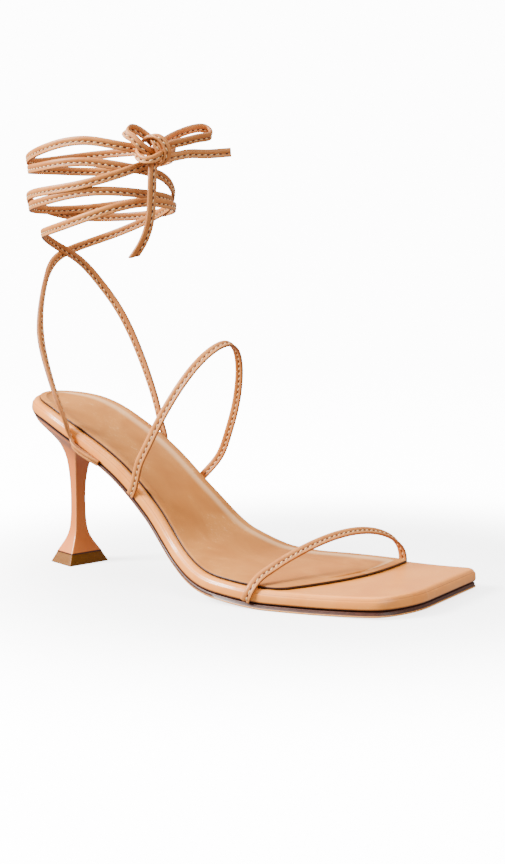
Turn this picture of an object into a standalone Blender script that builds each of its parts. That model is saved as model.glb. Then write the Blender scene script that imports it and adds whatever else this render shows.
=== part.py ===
"""High heel sandal with ankle ties: the right shoe of a pair, standing empty.

The origin is the middle of the heel's top-lift on the floor. +X runs to the toe,
+Y to the foot's inner side and +Z up. Lengths are in metres.
"""
import math

import bmesh
import bpy
import numpy as np

# The sole, measured along the floor and across
LENGTH = 0.203
HEEL_SETBACK = 0.0250
SEAT_WIDTH = 0.0495
BALL_WIDTH = 0.0845
TOE_WIDTH = 0.0665
SWING = 0.0140
SEAT_RISE = 0.0687
TOE_SPRING = 0.0012
SEAT_BACK = 0.0018
SEAT_ROUND = 0.036
SIDE_START = 0.003
TOE_CORNER_INNER = (0.0040, 0.0040)
TOE_CORNER_OUTER = (0.0200, 0.0130)

# From this share of the length the sections turn square to the toe
TOE_FROM = 0.78

# Thicknesses of the sole's layers
OUTSOLE_BALL = 0.0022
OUTSOLE_WAIST = 0.0013
OUTSOLE_INSET = 0.0002
OUTSOLE_BREAK = 0.0005
PLATFORM = 0.0054
PLATFORM_EDGE = 0.0022
PLATFORM_TUCK = 0.0012
SOCK = 0.0013
SOCK_INSET = 0.0030
SOCK_EDGE = 0.0012
SOCK_FRONT = 0.1760
SOCK_SLANT = 0.0240
SOCK_CORNER = 0.08

# The heel and its top-lift
BREAST = 0.0440
LIFT_HEIGHT = 0.0047
LIFT_LENGTH = 0.0166
LIFT_WIDTH = 0.0218
LIFT_TOP_SHARE = 0.79
LIFT_TAPER = 0.12
HEEL_TURN = -13.0
NECK_LENGTH = 0.0047
NECK_WIDTH = 0.0056
ARRIS = 0.0005
HEEL_INSET = 0.0006

# Straps and ties are strips of folded leather
STRAP_WIDTH = 0.0039
STRAP_THICK = 0.0018
TIE_WIDTH = 0.0038
TIE_THICK = 0.0018
SKIVE = 0.5
STRAP_END = 0.0006
STRAP_RIM = 0.0004
STRAP_STEP = 0.0034
TIE_STEP = 0.0042
BOW_STEP = 0.0026

# The toe strap and the instep strap
TOE_STRAP_OUTER = 0.1330
TOE_STRAP_LEAN = 0.0016
TOE_STRAP_INNER = 0.1683
TOE_STRAP_RISE = 0.0164
INSTEP_OUTER = 0.0727
INSTEP_INNER = 0.0728
INSTEP_REACH = 0.0306
INSTEP_RISE = 0.0640

# The ankle ties
TIE_OUTER = 0.0425
TIE_LEAN = -0.0060
TIE_INNER = 0.0530
ANKLE_FORWARD = 0.0138
ANKLE_INWARD = 0.0010
ANKLE_LENGTH = 0.0694
ANKLE_WIDTH = 0.0538
WRAP_HEIGHT = 0.1900

# The bow, from the middle of its knot
KNOT_AT = (0.0547, -0.0112, 0.1818)
KNOT_SIZE = (0.0088, 0.0125, 0.0125)
KNOT_TURN = -30.0

# Touching pieces are kept this far apart
GAP = 0.0003

# Share of the length from the back; the width as shares of the seat, ball and toe
# widths; the centre line's swing; the height of the sole line; the toe spring
LAST = (
    # along seat  ball  toe   swing rise  spring
    (0.0, 0.90, 0.00, 0.00, 0.09, 1.00, 0.0),
    (0.1, 0.97, 0.00, 0.00, 0.11, 0.94, 0.0),
    (0.2, 0.99, 0.00, 0.00, 0.14, 0.81, 0.0),
    (0.3, 0.97, 0.00, 0.00, 0.16, 0.64, 0.0),
    (0.4, 0.98, 0.00, 0.00, 0.15, 0.40, 0.0),
    (0.5, 0.76, 0.25, 0.00, 0.09, 0.15, 0.0),
    (0.6, 0.25, 0.77, 0.00, 0.10, 0.03, 0.0),
    (0.7, 0.00, 0.99, 0.00, 0.37, 0.00, 0.0),
    (0.8, 0.00, 0.85, 0.15, 0.57, 0.00, 0.0),
    (0.9, 0.00, 0.38, 0.65, 0.69, 0.00, 0.3),
    (1.0, 0.00, 0.00, 1.00, 0.94, 0.00, 1.0),
)

# Share of the heel's height; how far the section flares to the foot of the heel; how
# far it has become the seat
HEEL_ROWS = (
    # height flare cup
    (0.00, 1.00, 0.00),
    (0.05, 0.68, 0.00),
    (0.10, 0.38, 0.00),
    (0.15, 0.18, 0.00),
    (0.20, 0.08, 0.00),
    (0.30, 0.01, 0.00),
    (0.40, 0.00, 0.00),
    (0.50, 0.00, 0.01),
    (0.60, 0.00, 0.04),
    (0.70, 0.00, 0.10),
    (0.80, 0.00, 0.26),
    (0.85, 0.00, 0.43),
    (0.90, 0.00, 0.66),
    (0.95, 0.00, 0.88),
    (1.00, 0.00, 1.00),
)

# The toe strap: the slope of its face to the toe; its arch: how far its top lies to the
# inner side, how full it is, its height, and the degrees turned over it at its points
TOE_STRAP_TILT = 0.6
TOE_ARCH_LEAN = 1.55
TOE_ARCH_ROUND = 0.45
TOE_ARCH_FULL = 0.95
TOE_ARCH_TURNS = (2, 6, 12, 25, 45, 65, 90, 115, 140, 158, 170, 177)

# The instep strap's loop: its swell past the seat's sides, how far its top leans past its
# reach, then how full each side is and how it bends forward, outer side first
INSTEP_SWELL = 1.12
INSTEP_LEAN = 1.09
INSTEP_SIDES = ((3.0, 1.0), (1.9, 0.7))
INSTEP_TURNS = (6, 10, 18, 30, 45, 60, 75, 90, 105, 120, 135, 148, 159, 168)

# Each tie round the ankle: degrees turned from the front towards the inner side, share
# of the ankle's half length and half width, share of the wraps' height
OUTER_TIE = (
    # turn  reach  height
    (-88, 0.95, 0.350),
    (-95, 0.97, 0.400),
    (-110, 0.92, 0.470),
    (-125, 0.90, 0.550),
    (-140, 0.82, 0.630),
    (-155, 0.78, 0.670),
    (-190, 0.84, 0.730),
    (-220, 0.97, 0.760),
    (-250, 1.00, 0.790),
    (-290, 1.00, 0.830),
    (-330, 1.00, 0.855),
    (-380, 1.00, 0.865),
    (-420, 1.00, 0.870),
    (-460, 1.00, 0.855),
    (-510, 0.96, 0.845),
    (-550, 0.97, 0.845),
    (-600, 1.00, 0.855),
    (-640, 1.00, 0.865),
    (-690, 1.02, 0.870),
    (-720, 1.02, 0.905),
    (-750, 1.00, 0.920),
    (-790, 1.00, 0.935),
    (-830, 1.00, 0.930),
    (-880, 0.96, 0.935),
    (-920, 0.98, 0.940),
    (-960, 1.00, 0.940),
    (-1000, 1.00, 0.950),
    (-1050, 1.00, 0.955),
    (-1080, 1.05, 0.955),
    (-1100, 1.12, 0.955),
)
INNER_TIE = (
    # turn  reach  height
    (68, 1.07, 0.320),
    (72, 1.05, 0.365),
    (80, 1.00, 0.445),
    (92, 0.94, 0.535),
    (106, 0.89, 0.610),
    (124, 0.87, 0.675),
    (145, 0.87, 0.730),
    (170, 0.84, 0.760),
    (200, 0.80, 0.780),
    (230, 0.81, 0.785),
    (270, 0.96, 0.795),
    (300, 1.04, 0.820),
    (335, 1.04, 0.845),
    (370, 1.04, 0.845),
    (430, 1.04, 0.835),
    (475, 1.04, 0.830),
    (510, 1.02, 0.835),
    (550, 0.98, 0.855),
    (590, 1.00, 0.870),
    (650, 1.04, 0.885),
    (680, 1.04, 0.910),
    (715, 1.04, 0.945),
    (760, 1.04, 0.975),
    (810, 1.04, 0.985),
    (845, 1.03, 0.980),
    (870, 1.01, 0.970),
    (910, 0.98, 0.955),
    (940, 0.99, 0.955),
    (980, 1.03, 0.970),
    (1015, 1.04, 0.980),
    (1035, 1.05, 0.970),
    (1057, 1.12, 0.960),
)

# The bow's loops and ends, from the middle of the knot
LOOP_OUTER = (
    (-0.0015, 0.0005, 0.0030),
    (-0.0045, -0.0005, 0.0060),
    (-0.0075, -0.0025, 0.0085),
    (-0.0090, -0.0060, 0.0090),
    (-0.0090, -0.0085, 0.0070),
    (-0.0060, -0.0085, 0.0050),
    (-0.0030, -0.0075, 0.0020),
    (-0.0010, -0.0040, -0.0005),
    (-0.0005, -0.0010, -0.0015),
)
LOOP_INNER = (
    (0.0005, 0.0010, 0.0020),
    (0.0020, 0.0055, 0.0050),
    (0.0035, 0.0120, 0.0080),
    (0.0065, 0.0190, 0.0105),
    (0.0090, 0.0240, 0.0105),
    (0.0115, 0.0235, 0.0085),
    (0.0110, 0.0160, 0.0060),
    (0.0080, 0.0090, 0.0040),
    (0.0050, 0.0040, 0.0025),
    (0.0010, 0.0010, 0.0005),
)
END_SIDE = (
    (0.0005, 0.0010, -0.0025),
    (0.0040, 0.0050, -0.0025),
    (0.0080, 0.0110, -0.0010),
    (0.0125, 0.0190, -0.0005),
    (0.0160, 0.0235, 0.0000),
    (0.0195, 0.0270, 0.0005),
)
END_HANGING = (
    (0.0005, 0.0000, -0.0010),
    (0.0005, -0.0025, -0.0060),
    (0.0010, -0.0040, -0.0120),
    (0.0005, -0.0040, -0.0220),
    (-0.0010, -0.0045, -0.0325),
    (-0.0040, -0.0055, -0.0395),
    (-0.0070, -0.0065, -0.0440),
)

LEATHER = ((0.80, 0.47, 0.27, 1.0), 0.45)
GLOSSY_LEATHER = ((0.84, 0.56, 0.37, 1.0), 0.28)
SOCK_LEATHER = ((0.66, 0.40, 0.20, 1.0), 0.40)
HEEL_LEATHER = ((0.76, 0.44, 0.26, 1.0), 0.30)
SOLE_EDGE = ((0.10, 0.03, 0.015, 1.0), 0.40)
LIFT_RUBBER = ((0.20, 0.09, 0.02, 1.0), 0.35)


def clear_scene():
    """Remove what the scene holds."""
    for thing in list(bpy.data.objects):
        bpy.data.objects.remove(thing)


def material(name, look):
    """A plain material with a colour and a roughness."""
    made = bpy.data.materials.new(name)
    made.use_nodes = True
    shader = made.node_tree.nodes["Principled BSDF"]
    shader.inputs["Base Color"].default_value = look[0]
    shader.inputs["Roughness"].default_value = look[1]
    return made


def unit(vector):
    """The vector at a length of one."""
    return vector / np.linalg.norm(vector)


def flowing(xs, ys, at):
    """A natural cubic through a table's column."""
    xs = np.asarray(xs, float)
    ys = np.asarray(ys, float)
    steps = np.diff(xs)
    count = len(xs)
    matrix = np.eye(count)
    right = np.zeros((count,) + ys.shape[1:])
    for i in range(1, count - 1):
        matrix[i, i - 1] = steps[i - 1]
        matrix[i, i] = 2 * (steps[i - 1] + steps[i])
        matrix[i, i + 1] = steps[i]
        right[i] = 6 * ((ys[i + 1] - ys[i]) / steps[i] - (ys[i] - ys[i - 1]) / steps[i - 1])
    bend = np.linalg.solve(matrix, right)
    i = int(np.clip(np.searchsorted(xs, at) - 1, 0, count - 2))
    a = (xs[i + 1] - at) / steps[i]
    b = (at - xs[i]) / steps[i]
    curve = ((a ** 3 - a) * bend[i] + (b ** 3 - b) * bend[i + 1]) * steps[i] ** 2 / 6
    return a * ys[i] + b * ys[i + 1] + curve


def steady(xs, ys, at):
    """A cubic through a table's column that never overshoots, and is level where it is."""
    slopes = [(ys[i + 1] - ys[i]) / (xs[i + 1] - xs[i]) for i in range(len(xs) - 1)]
    ends = [slopes[0]]
    for before, after in zip(slopes, slopes[1:]):
        ends.append(2 * before * after / (before + after) if before * after > 0 else 0.0)
    ends.append(slopes[-1])
    i = int(np.clip(np.searchsorted(xs, at) - 1, 0, len(xs) - 2))
    step = xs[i + 1] - xs[i]
    t = (at - xs[i]) / step
    start = (1 + 2 * t) * (1 - t) ** 2 * ys[i] + t * (1 - t) ** 2 * step * ends[i]
    return start + t * t * (3 - 2 * t) * ys[i + 1] + t * t * (t - 1) * step * ends[i + 1]


def last_column(name):
    """One column of the last's table."""
    names = ("along", "seat", "ball", "toe", "swing", "rise", "spring")
    return [row[names.index(name)] for row in LAST]


def sole_line(along):
    """The point of the platform's underside on the centre line, so far from the back."""
    share = along / LENGTH
    shares = last_column("along")
    ground = OUTSOLE_BALL + GAP
    rise = SEAT_RISE * steady(shares, last_column("rise"), share)
    spring = TOE_SPRING * steady(shares, last_column("spring"), share)
    swing = SWING * flowing(shares, last_column("swing"), share)
    return np.array([along - HEEL_SETBACK, swing, ground + rise + spring])


def sole_frame(along):
    """The sole line's point, the way across it to the inner side, and the way up."""
    step = LENGTH / 400
    point = sole_line(along)
    forward = sole_line(along + step) - sole_line(along - step)
    forward[1] *= 1 - np.clip((along / LENGTH - TOE_FROM) / (1 - TOE_FROM), 0, 1)
    forward = unit(forward)
    across = unit(np.array([-forward[1], forward[0], 0.0]))
    return point, across, np.cross(forward, across)


def half_width(along):
    """Half the platform's width, before its ends are rounded."""
    share = along / LENGTH
    shares = last_column("along")
    width = SEAT_WIDTH * flowing(shares, last_column("seat"), share)
    width += BALL_WIDTH * flowing(shares, last_column("ball"), share)
    width += TOE_WIDTH * flowing(shares, last_column("toe"), share)
    return width / 2


def on_sole(along, aside, height):
    """A point so far from the back, to the inner side and above the sole line."""
    point, across, up = sole_frame(along)
    return point + across * aside + up * height


def seat_rows(inset):
    """Places along and half widths round the back of the seat."""
    rows = []
    for angle in np.radians(np.linspace(7, 90, 9)):
        along = SEAT_BACK + inset + (SEAT_ROUND - inset) * (1 - math.cos(angle))
        rows.append((along, (half_width(along) - inset) * math.sin(angle)))
    return rows


def front_rows(start, stop, inset, middle, corner):
    """Places along and half widths up one side and round its front corner."""
    turn, reach = corner
    rows = [(along, half_width(along) - inset) for along in np.linspace(start, stop - reach, middle)]
    for angle in np.radians((15, 30, 45, 60, 75, 90)):
        along = stop - reach + (reach - inset) * math.sin(angle)
        rows.append((along, half_width(along) - turn + (turn - inset) * math.cos(angle)))
    return rows


def outline(start, stop, inset, middle, corners=(TOE_CORNER_INNER, TOE_CORNER_OUTER)):
    """Pairs of places on the inner and outer edge, from the back to the front.

    A start of zero gives the round back of the seat.
    """
    inner = []
    outer = []
    first = start + inset
    if start == 0:
        inner = seat_rows(inset)
        outer = seat_rows(inset)
        first = SEAT_BACK + SEAT_ROUND + SIDE_START
    inner += front_rows(first, stop, inset, middle, corners[0])
    outer += front_rows(first, stop, inset, middle, corners[1])
    return [(one, (other[0], -other[1])) for one, other in zip(inner, outer)]


def loop_points(pairs, height):
    """One closed ring on the sole: up the inner edge and back down the outer one."""
    inner = [on_sole(*pair[0], height(pair[0][0])) for pair in pairs]
    outer = [on_sole(*pair[1], height(pair[1][0])) for pair in pairs]
    return inner + outer[::-1]


def add_object(name, vertices, faces, look):
    """Make a mesh object in the shoe's collection."""
    mesh = bpy.data.meshes.new(name)
    mesh.from_pydata([tuple(point) for point in vertices], [], faces)
    mesh.materials.append(look)
    mesh.shade_smooth()
    mesh.set_sharp_from_angle(angle=math.radians(40))
    made = bpy.data.objects.new(name, mesh)
    bpy.data.collections["high_heel_sandal"].objects.link(made)
    shaped = bmesh.new()
    shaped.from_mesh(mesh)
    bmesh.ops.recalc_face_normals(shaped, faces=shaped.faces)
    shaped.to_mesh(mesh)
    shaped.free()
    return made


def ring_faces(rings, count):
    """The side faces between closed rings that follow each other."""
    faces = []
    for level in range(rings - 1):
        low = level * count
        for i in range(count):
            j = (i + 1) % count
            faces.append((low + i, low + j, low + count + j, low + count + i))
    return faces


def plate(name, rings, look):
    """A layer of the sole from rings of edge points, closed below and above in strips."""
    count = len(rings[0])
    vertices = [point for ring in rings for point in ring]
    faces = ring_faces(len(rings), count)
    top = (len(rings) - 1) * count
    for i in range(count // 2 - 1):
        other = count - 1 - i
        faces.append((i, i + 1, other - 1, other))
        faces.append((top + other, top + other - 1, top + i + 1, top + i))
    return add_object(name, vertices, faces, look)


def tube(name, rings, look):
    """A strip or block from section rings, closed with a flat face at each end."""
    count = len(rings[0])
    vertices = [point for ring in rings for point in ring]
    faces = ring_faces(len(rings), count)
    faces.append(tuple(range(count)))
    top = (len(rings) - 1) * count
    faces.append(tuple(top + i for i in reversed(range(count))))
    return add_object(name, vertices, faces, look)


def outsole_thickness(along):
    """The outsole is thin at the waist and full under the ball."""
    share = np.clip((along / LENGTH - 0.45) / 0.2, 0, 1)
    return OUTSOLE_WAIST + (OUTSOLE_BALL - OUTSOLE_WAIST) * share * share * (3 - 2 * share)


def build_outsole(look):
    """The thin sole from the heel's breast to the toe."""
    rings = []
    for cut, share in ((1.0, 1.0), (0.0, 0.8), (0.0, 0.2), (0.6, 0.0)):
        pairs = outline(BREAST, LENGTH, OUTSOLE_INSET + cut * OUTSOLE_BREAK, 34)
        rings.append(loop_points(pairs, lambda along: -GAP - share * outsole_thickness(along)))
    return plate("outsole", rings, look)


def build_platform(look):
    """The footbed wrapped in leather, with a rounded rim."""
    edge = PLATFORM_EDGE
    rows = (
        (0.4 * edge, 0.0),
        (0.1 * edge, PLATFORM_TUCK / 3),
        (0.0, PLATFORM_TUCK),
        (0.0, PLATFORM - 1.1 * edge),
        (0.12 * edge, PLATFORM - 0.55 * edge),
        (0.5 * edge, PLATFORM - 0.14 * edge),
        (edge, PLATFORM),
    )
    rings = []
    for inset, height in rows:
        rings.append(loop_points(outline(0, LENGTH, inset, 34), lambda along: height))
    return plate("platform", rings, look)


def sock_front(share):
    """How far forward the sock reaches at a share of the half width, minus one outside."""
    corner = max(0.0, (abs(share) - 1 + SOCK_CORNER) / SOCK_CORNER)
    turn = 1 - math.sqrt(max(0.0, 1 - corner * corner))
    depth = SOCK_CORNER * BALL_WIDTH / 2
    return SOCK_FRONT - SOCK_SLANT * ((1 - share) / 2) ** 3 - depth * turn


def sock_outline(inset):
    """Pairs of places on the sock's edge: the seat, the sides and the slanted front."""
    pairs = [((along, half), (along, -half)) for along, half in seat_rows(inset)]
    start = SEAT_BACK + SEAT_ROUND
    front_inner = sock_front(1.0) - inset
    front_outer = sock_front(-1.0) - inset
    for part in np.linspace(0.04, 1, 24):
        inner = start + (front_inner - start) * part
        outer = inner - (front_inner - front_outer) * part ** 4
        pairs.append(((inner, half_width(inner) - inset), (outer, inset - half_width(outer))))
    for share in (0.993, 0.972, 0.945, 0.90, 0.78, 0.62, 0.44, 0.24, 0.07):
        inner = sock_front(share) - inset
        outer = sock_front(-share) - inset
        half_inner = share * (half_width(inner) - inset)
        half_outer = -share * (half_width(outer) - inset)
        pairs.append(((inner, half_inner), (outer, half_outer)))
    return pairs


def build_insole(look):
    """The padded sock, which ends in a slanted curve in front of the toe strap."""
    floor = PLATFORM + GAP
    rings = []
    for cut, share in ((0.0, 0.0), (0.0, 0.55), (0.33, 0.88), (1.0, 1.0)):
        pairs = sock_outline(SOCK_INSET + cut * SOCK_EDGE)
        rings.append(loop_points(pairs, lambda along: floor + share * SOCK))
    return plate("insole", rings, look)


def block_ring(length, width, height, turn=HEEL_TURN):
    """A four-sided ring with small flats at its corners, narrower at the back."""
    front = length / 2
    side = width / 2
    back = side * (1 - LIFT_TAPER)
    angle = math.radians(turn)
    way = np.array([math.cos(angle), math.sin(angle)])
    across = np.array([-way[1], way[0]])
    places = ((front, side), (-front, back), (-front, -back), (front, -side))
    corners = [way * x + across * y for x, y in places]
    ring = []
    for i, corner in enumerate(corners):
        before = corners[i - 1]
        after = corners[(i + 1) % 4]
        ring.append(np.append(corner + ARRIS * unit(before - corner), height))
        ring.append(np.append(corner + ARRIS * unit(after - corner), height))
    return ring


def spread(ring, per_side):
    """More points along the four long sides of a block's ring."""
    points = []
    for side in range(4):
        start = ring[2 * side + 1]
        end = ring[(2 * side + 2) % 8]
        for i in range(per_side):
            points.append(start + (end - start) * i / (per_side - 1))
    return points


def seat_ring(per_side):
    """The heel's top edge under the seat, in step with the points of a block's ring."""
    under = -GAP
    corner = (HEEL_INSET, HEEL_INSET)
    rim = outline(0, BREAST - GAP, HEEL_INSET, 4, (corner, corner))
    inner = [on_sole(*pair[0], under) for pair in rim]
    outer = [on_sole(*pair[1], under) for pair in rim]
    edge = np.array(outer[::-1] + inner)
    lengths = np.append(0, np.cumsum(np.linalg.norm(np.diff(edge, axis=0), axis=1)))
    around = np.linspace(0, lengths[-1], 3 * per_side - 2)
    path = np.array([[np.interp(s, lengths, edge[:, k]) for k in range(3)] for s in around])
    path = path[::-1]
    side_inner = path[:per_side]
    back = path[per_side - 1:2 * per_side - 1]
    side_outer = path[2 * per_side - 2:]
    share = np.linspace(0, 1, per_side)[:, None]
    front = side_outer[-1] * (1 - share) + side_inner[0] * share
    nudge = 0.4 * ARRIS
    back = back.copy()
    back[0] += unit(back[1] - back[0]) * nudge
    back[-1] += unit(back[-2] - back[-1]) * nudge
    front[0] += unit(front[1] - front[0]) * nudge
    front[-1] += unit(front[-2] - front[-1]) * nudge
    return list(side_inner) + list(back) + list(side_outer) + list(front)


def build_heel(look):
    """The flared block with four faces: a spool that opens into the seat."""
    per_side = 8
    foot = LIFT_HEIGHT + GAP
    seat = seat_ring(per_side)
    middle = sole_line(HEEL_SETBACK)[2]
    heights = [row[0] for row in HEEL_ROWS]
    rings = []
    for share in np.linspace(0, 1, 30):
        flare = max(0.0, float(steady(heights, [row[1] for row in HEEL_ROWS], share)))
        cup = float(steady(heights, [row[2] for row in HEEL_ROWS], share))
        length = NECK_LENGTH + (LIFT_TOP_SHARE * LIFT_LENGTH - NECK_LENGTH) * flare
        width = NECK_WIDTH + (LIFT_TOP_SHARE * LIFT_WIDTH - NECK_WIDTH) * flare
        block = spread(block_ring(length, width, 0.0), per_side)
        ring = []
        for low, high in zip(block, seat):
            point = low * (1 - cup) + high * cup
            top = middle * (1 - cup) + high[2] * cup
            point[2] = foot + share * (top - foot)
            ring.append(point)
        rings.append(ring)
    return tube("heel", rings, look)


def build_top_lift(look):
    """The rubber pad that the heel stands on, wider at the floor."""
    rings = []
    for height, share in ((0.0, 1.0), (LIFT_HEIGHT, LIFT_TOP_SHARE)):
        ring = block_ring(LIFT_LENGTH * share, LIFT_WIDTH * share, height)
        rings.append(ring)
    return tube("top_lift", rings, look)


def resampled(points, step):
    """A smooth path through the points, with a point at every step."""
    points = np.array(points, float)
    lengths = np.append(0, np.cumsum(np.linalg.norm(np.diff(points, axis=0), axis=1)))
    fine = np.array([flowing(lengths, points, s) for s in np.linspace(0, lengths[-1], 40 * len(points))])
    along = np.append(0, np.cumsum(np.linalg.norm(np.diff(fine, axis=0), axis=1)))
    count = max(4, round(along[-1] / step))
    places = np.linspace(0, along[-1], count + 1)
    return np.array([[np.interp(s, along, fine[:, k]) for k in range(3)] for s in places])


def strip(name, path, flat_way, width, thick, look, skives=(False, False)):
    """A leather strip along a path; flat_way gives the direction across its width."""
    shape = ((0.5, 0.22), (0.32, 0.5), (-0.32, 0.5), (-0.5, 0.22))
    shape += ((-0.5, -0.22), (-0.32, -0.5), (0.32, -0.5), (0.5, -0.22))
    count = len(path)
    rings = []
    for i, point in enumerate(path):
        forward = unit(path[min(i + 1, count - 1)] - path[max(i - 1, 0)])
        across = flat_way(point, i / (count - 1))
        across = unit(across - forward * np.dot(across, forward))
        out = np.cross(forward, across)
        here = thick
        near_start = skives[0] and i < 3
        near_end = skives[1] and i > count - 4
        if near_start:
            here *= SKIVE + (1 - SKIVE) * i / 3
        if near_end:
            here *= SKIVE + (1 - SKIVE) * (count - 1 - i) / 3
        rings.append([point + across * width * u + out * here * v for u, v in shape])
    return tube(name, rings, look)


def wall_points(along, side, lean=0.0):
    """Where a strap lies on the platform's wall: low, in the middle and at the rim.

    A lean takes the rim's point so much further forward than the low one.
    """
    places = (
        (along, GAP + SKIVE * STRAP_THICK / 2, STRAP_END),
        (along + lean / 2, GAP + STRAP_THICK / 2, 0.5 * PLATFORM),
        (along + lean, GAP + STRAP_THICK / 2, PLATFORM + STRAP_RIM),
    )
    return [on_sole(s, side * (half_width(s) + clear), height) for s, clear, height in places]


def wall_way(along, side):
    """The way the platform's wall runs forward beside a strap's end."""
    step = LENGTH / 100
    ends = [on_sole(s, side * half_width(s), 0.0) for s in (along - step, along + step)]
    return unit(ends[1] - ends[0])


def turning(start_way, middle_way, end_way, over):
    """A strip's way across that turns from one wall to the strap's own and to the other."""
    def way(point, share):
        before = max(0.0, 1 - share / over)
        after = max(0.0, 1 - (1 - share) / over)
        return start_way * before + end_way * after + middle_way * (1 - before - after)
    return way


def toe_arch(turn):
    """Share of the toe strap's span and of its rise at an angle over the arch."""
    angle = math.radians(turn)
    return (turn / 180) ** (1 / TOE_ARCH_LEAN), TOE_ARCH_FULL * math.sin(angle) ** TOE_ARCH_ROUND


def instep_loop(turn):
    """Shares of the instep loop's reach, of half the seat's width and of its rise."""
    angle = math.radians(turn)
    full, bend = INSTEP_SIDES[0] if turn < 90 else INSTEP_SIDES[1]
    up = math.sin(angle) ** (2 / full)
    return INSTEP_LEAN * up ** bend, -INSTEP_SWELL * math.cos(angle), up


def build_toe_strap(look):
    """The narrow strap over the toes."""
    outer = wall_points(TOE_STRAP_OUTER, -1, TOE_STRAP_LEAN)
    inner = wall_points(TOE_STRAP_INNER, 1)
    start = outer[-1]
    span = inner[-1] - start
    rows = [toe_arch(turn) for turn in TOE_ARCH_TURNS]
    arch = [start + span * a + np.array([0, 0, TOE_STRAP_RISE * h]) for a, h in rows]
    path = resampled(outer[:2] + arch + inner[1::-1], STRAP_STEP)
    forward = unit(np.array([span[1], -span[0], 0.0])) - np.array([0, 0, TOE_STRAP_TILT])
    way = turning(wall_way(TOE_STRAP_OUTER, -1), forward, wall_way(TOE_STRAP_INNER, 1), 0.16)
    return strip("toe_strap", path, way, STRAP_WIDTH, STRAP_THICK, look, (True, True))


def build_instep_strap(look):
    """The tall loop over the instep, leaning forward from the waist."""
    outer = wall_points(INSTEP_OUTER, -1)
    inner = wall_points(INSTEP_INNER, 1)
    base = (outer[0] + inner[0]) / 2
    half = SEAT_WIDTH / 2
    loop = []
    for turn in INSTEP_TURNS:
        forward, across, up = instep_loop(turn)
        loop.append(base + np.array([INSTEP_REACH * forward, half * across, INSTEP_RISE * up]))
    path = resampled(outer[:2] + loop + inner[1::-1], STRAP_STEP)
    lean = unit(np.array([INSTEP_RISE, 0.0, -INSTEP_REACH]))
    way = turning(wall_way(INSTEP_OUTER, -1), lean, wall_way(INSTEP_INNER, 1), 0.10)
    return strip("instep_strap", path, way, STRAP_WIDTH, STRAP_THICK, look, (True, True))


def ankle_point(turn, reach, height):
    """A point round the ankle."""
    angle = math.radians(turn)
    x = ANKLE_FORWARD + reach * ANKLE_LENGTH / 2 * math.cos(angle)
    y = ANKLE_INWARD + reach * ANKLE_WIDTH / 2 * math.sin(angle)
    return np.array([x, y, WRAP_HEIGHT * height])


def tie_path(along, side, lean, rows):
    """A tie's path from the seat's edge, up and round the ankle."""
    foot = wall_points(along, side, lean)[:2]
    return resampled(foot + [ankle_point(*row) for row in rows], TIE_STEP)


def tie_way(along, side):
    """The ties lie flat on the seat's wall, and stand on edge round the ankle."""
    wall = wall_way(along, side)

    def way(point, share):
        rise = np.clip(point[2] / WRAP_HEIGHT, 0, 1)
        weight = np.clip((rise - 0.4) / 0.3, 0, 1)
        return wall * (1.0 - weight) + np.array([0.0, 0.0, weight])
    return way


def build_ankle_ties(look):
    """Both ties with their wraps, joined where they cross and cut to meet the knot."""
    outer = strip("ankle_ties", tie_path(TIE_OUTER, -1, TIE_LEAN, OUTER_TIE), tie_way(TIE_OUTER, -1),
                  TIE_WIDTH, TIE_THICK, look, (True, False))
    inner = strip("inner_tie", tie_path(TIE_INNER, 1, 0.0, INNER_TIE), tie_way(TIE_INNER, 1),
                  TIE_WIDTH, TIE_THICK, look, (True, False))
    return combine(outer, (("UNION", inner), ("DIFFERENCE", knot_lump("ties_end", GAP, look))))


def combine(base, steps):
    """Unite other solids with the base or cut them from it, and keep one mesh."""
    for operation, other in steps:
        joint = base.modifiers.new("joint", "BOOLEAN")
        joint.operation = operation
        joint.solver = "EXACT"
        joint.use_self = True
        joint.object = other
    seen = bpy.context.evaluated_depsgraph_get()
    seen.update()
    mesh = bpy.data.meshes.new_from_object(base.evaluated_get(seen))
    base.modifiers.clear()
    base.data = mesh
    for operation, other in steps:
        bpy.data.objects.remove(other)
    return base


def knot_lump(name, more, look):
    """A rounded lump the size of the knot, larger all round by more."""
    shaped = bmesh.new()
    bmesh.ops.create_uvsphere(shaped, u_segments=14, v_segments=9, radius=0.5)
    angle = math.radians(KNOT_TURN)
    vertices = []
    for vertex in shaped.verts:
        x, y, z = (c * (size + 2 * more) for c, size in zip(vertex.co, KNOT_SIZE))
        across = x * math.cos(angle) - y * math.sin(angle)
        inward = x * math.sin(angle) + y * math.cos(angle)
        vertices.append(np.array(KNOT_AT) + np.array([across, inward, z]))
    faces = [[vertex.index for vertex in face.verts] for face in shaped.faces]
    shaped.free()
    return add_object(name, vertices, faces, look)


def build_bow(look):
    """The knot, its two loops and the two free ends of the ties."""
    knot_lump("bow_knot", 0.0, look)
    knot = np.array(KNOT_AT)
    pieces = (
        ("bow_loop_outer", LOOP_OUTER, np.array([0.55, 0.4, 0.7])),
        ("bow_loop_inner", LOOP_INNER, np.array([0.35, -0.45, 0.85])),
        ("tie_end_side", END_SIDE, np.array([0.0, 0.0, 1.0])),
        ("tie_end_hanging", END_HANGING, np.array([0.5, 0.87, 0.0])),
    )
    for name, points, way in pieces:
        path = resampled([knot + np.array(point) for point in points], BOW_STEP)
        made = strip(name, path, lambda point, share: way, TIE_WIDTH, TIE_THICK, look)
        combine(made, (("DIFFERENCE", knot_lump("knot_cut", GAP, look)),))


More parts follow.
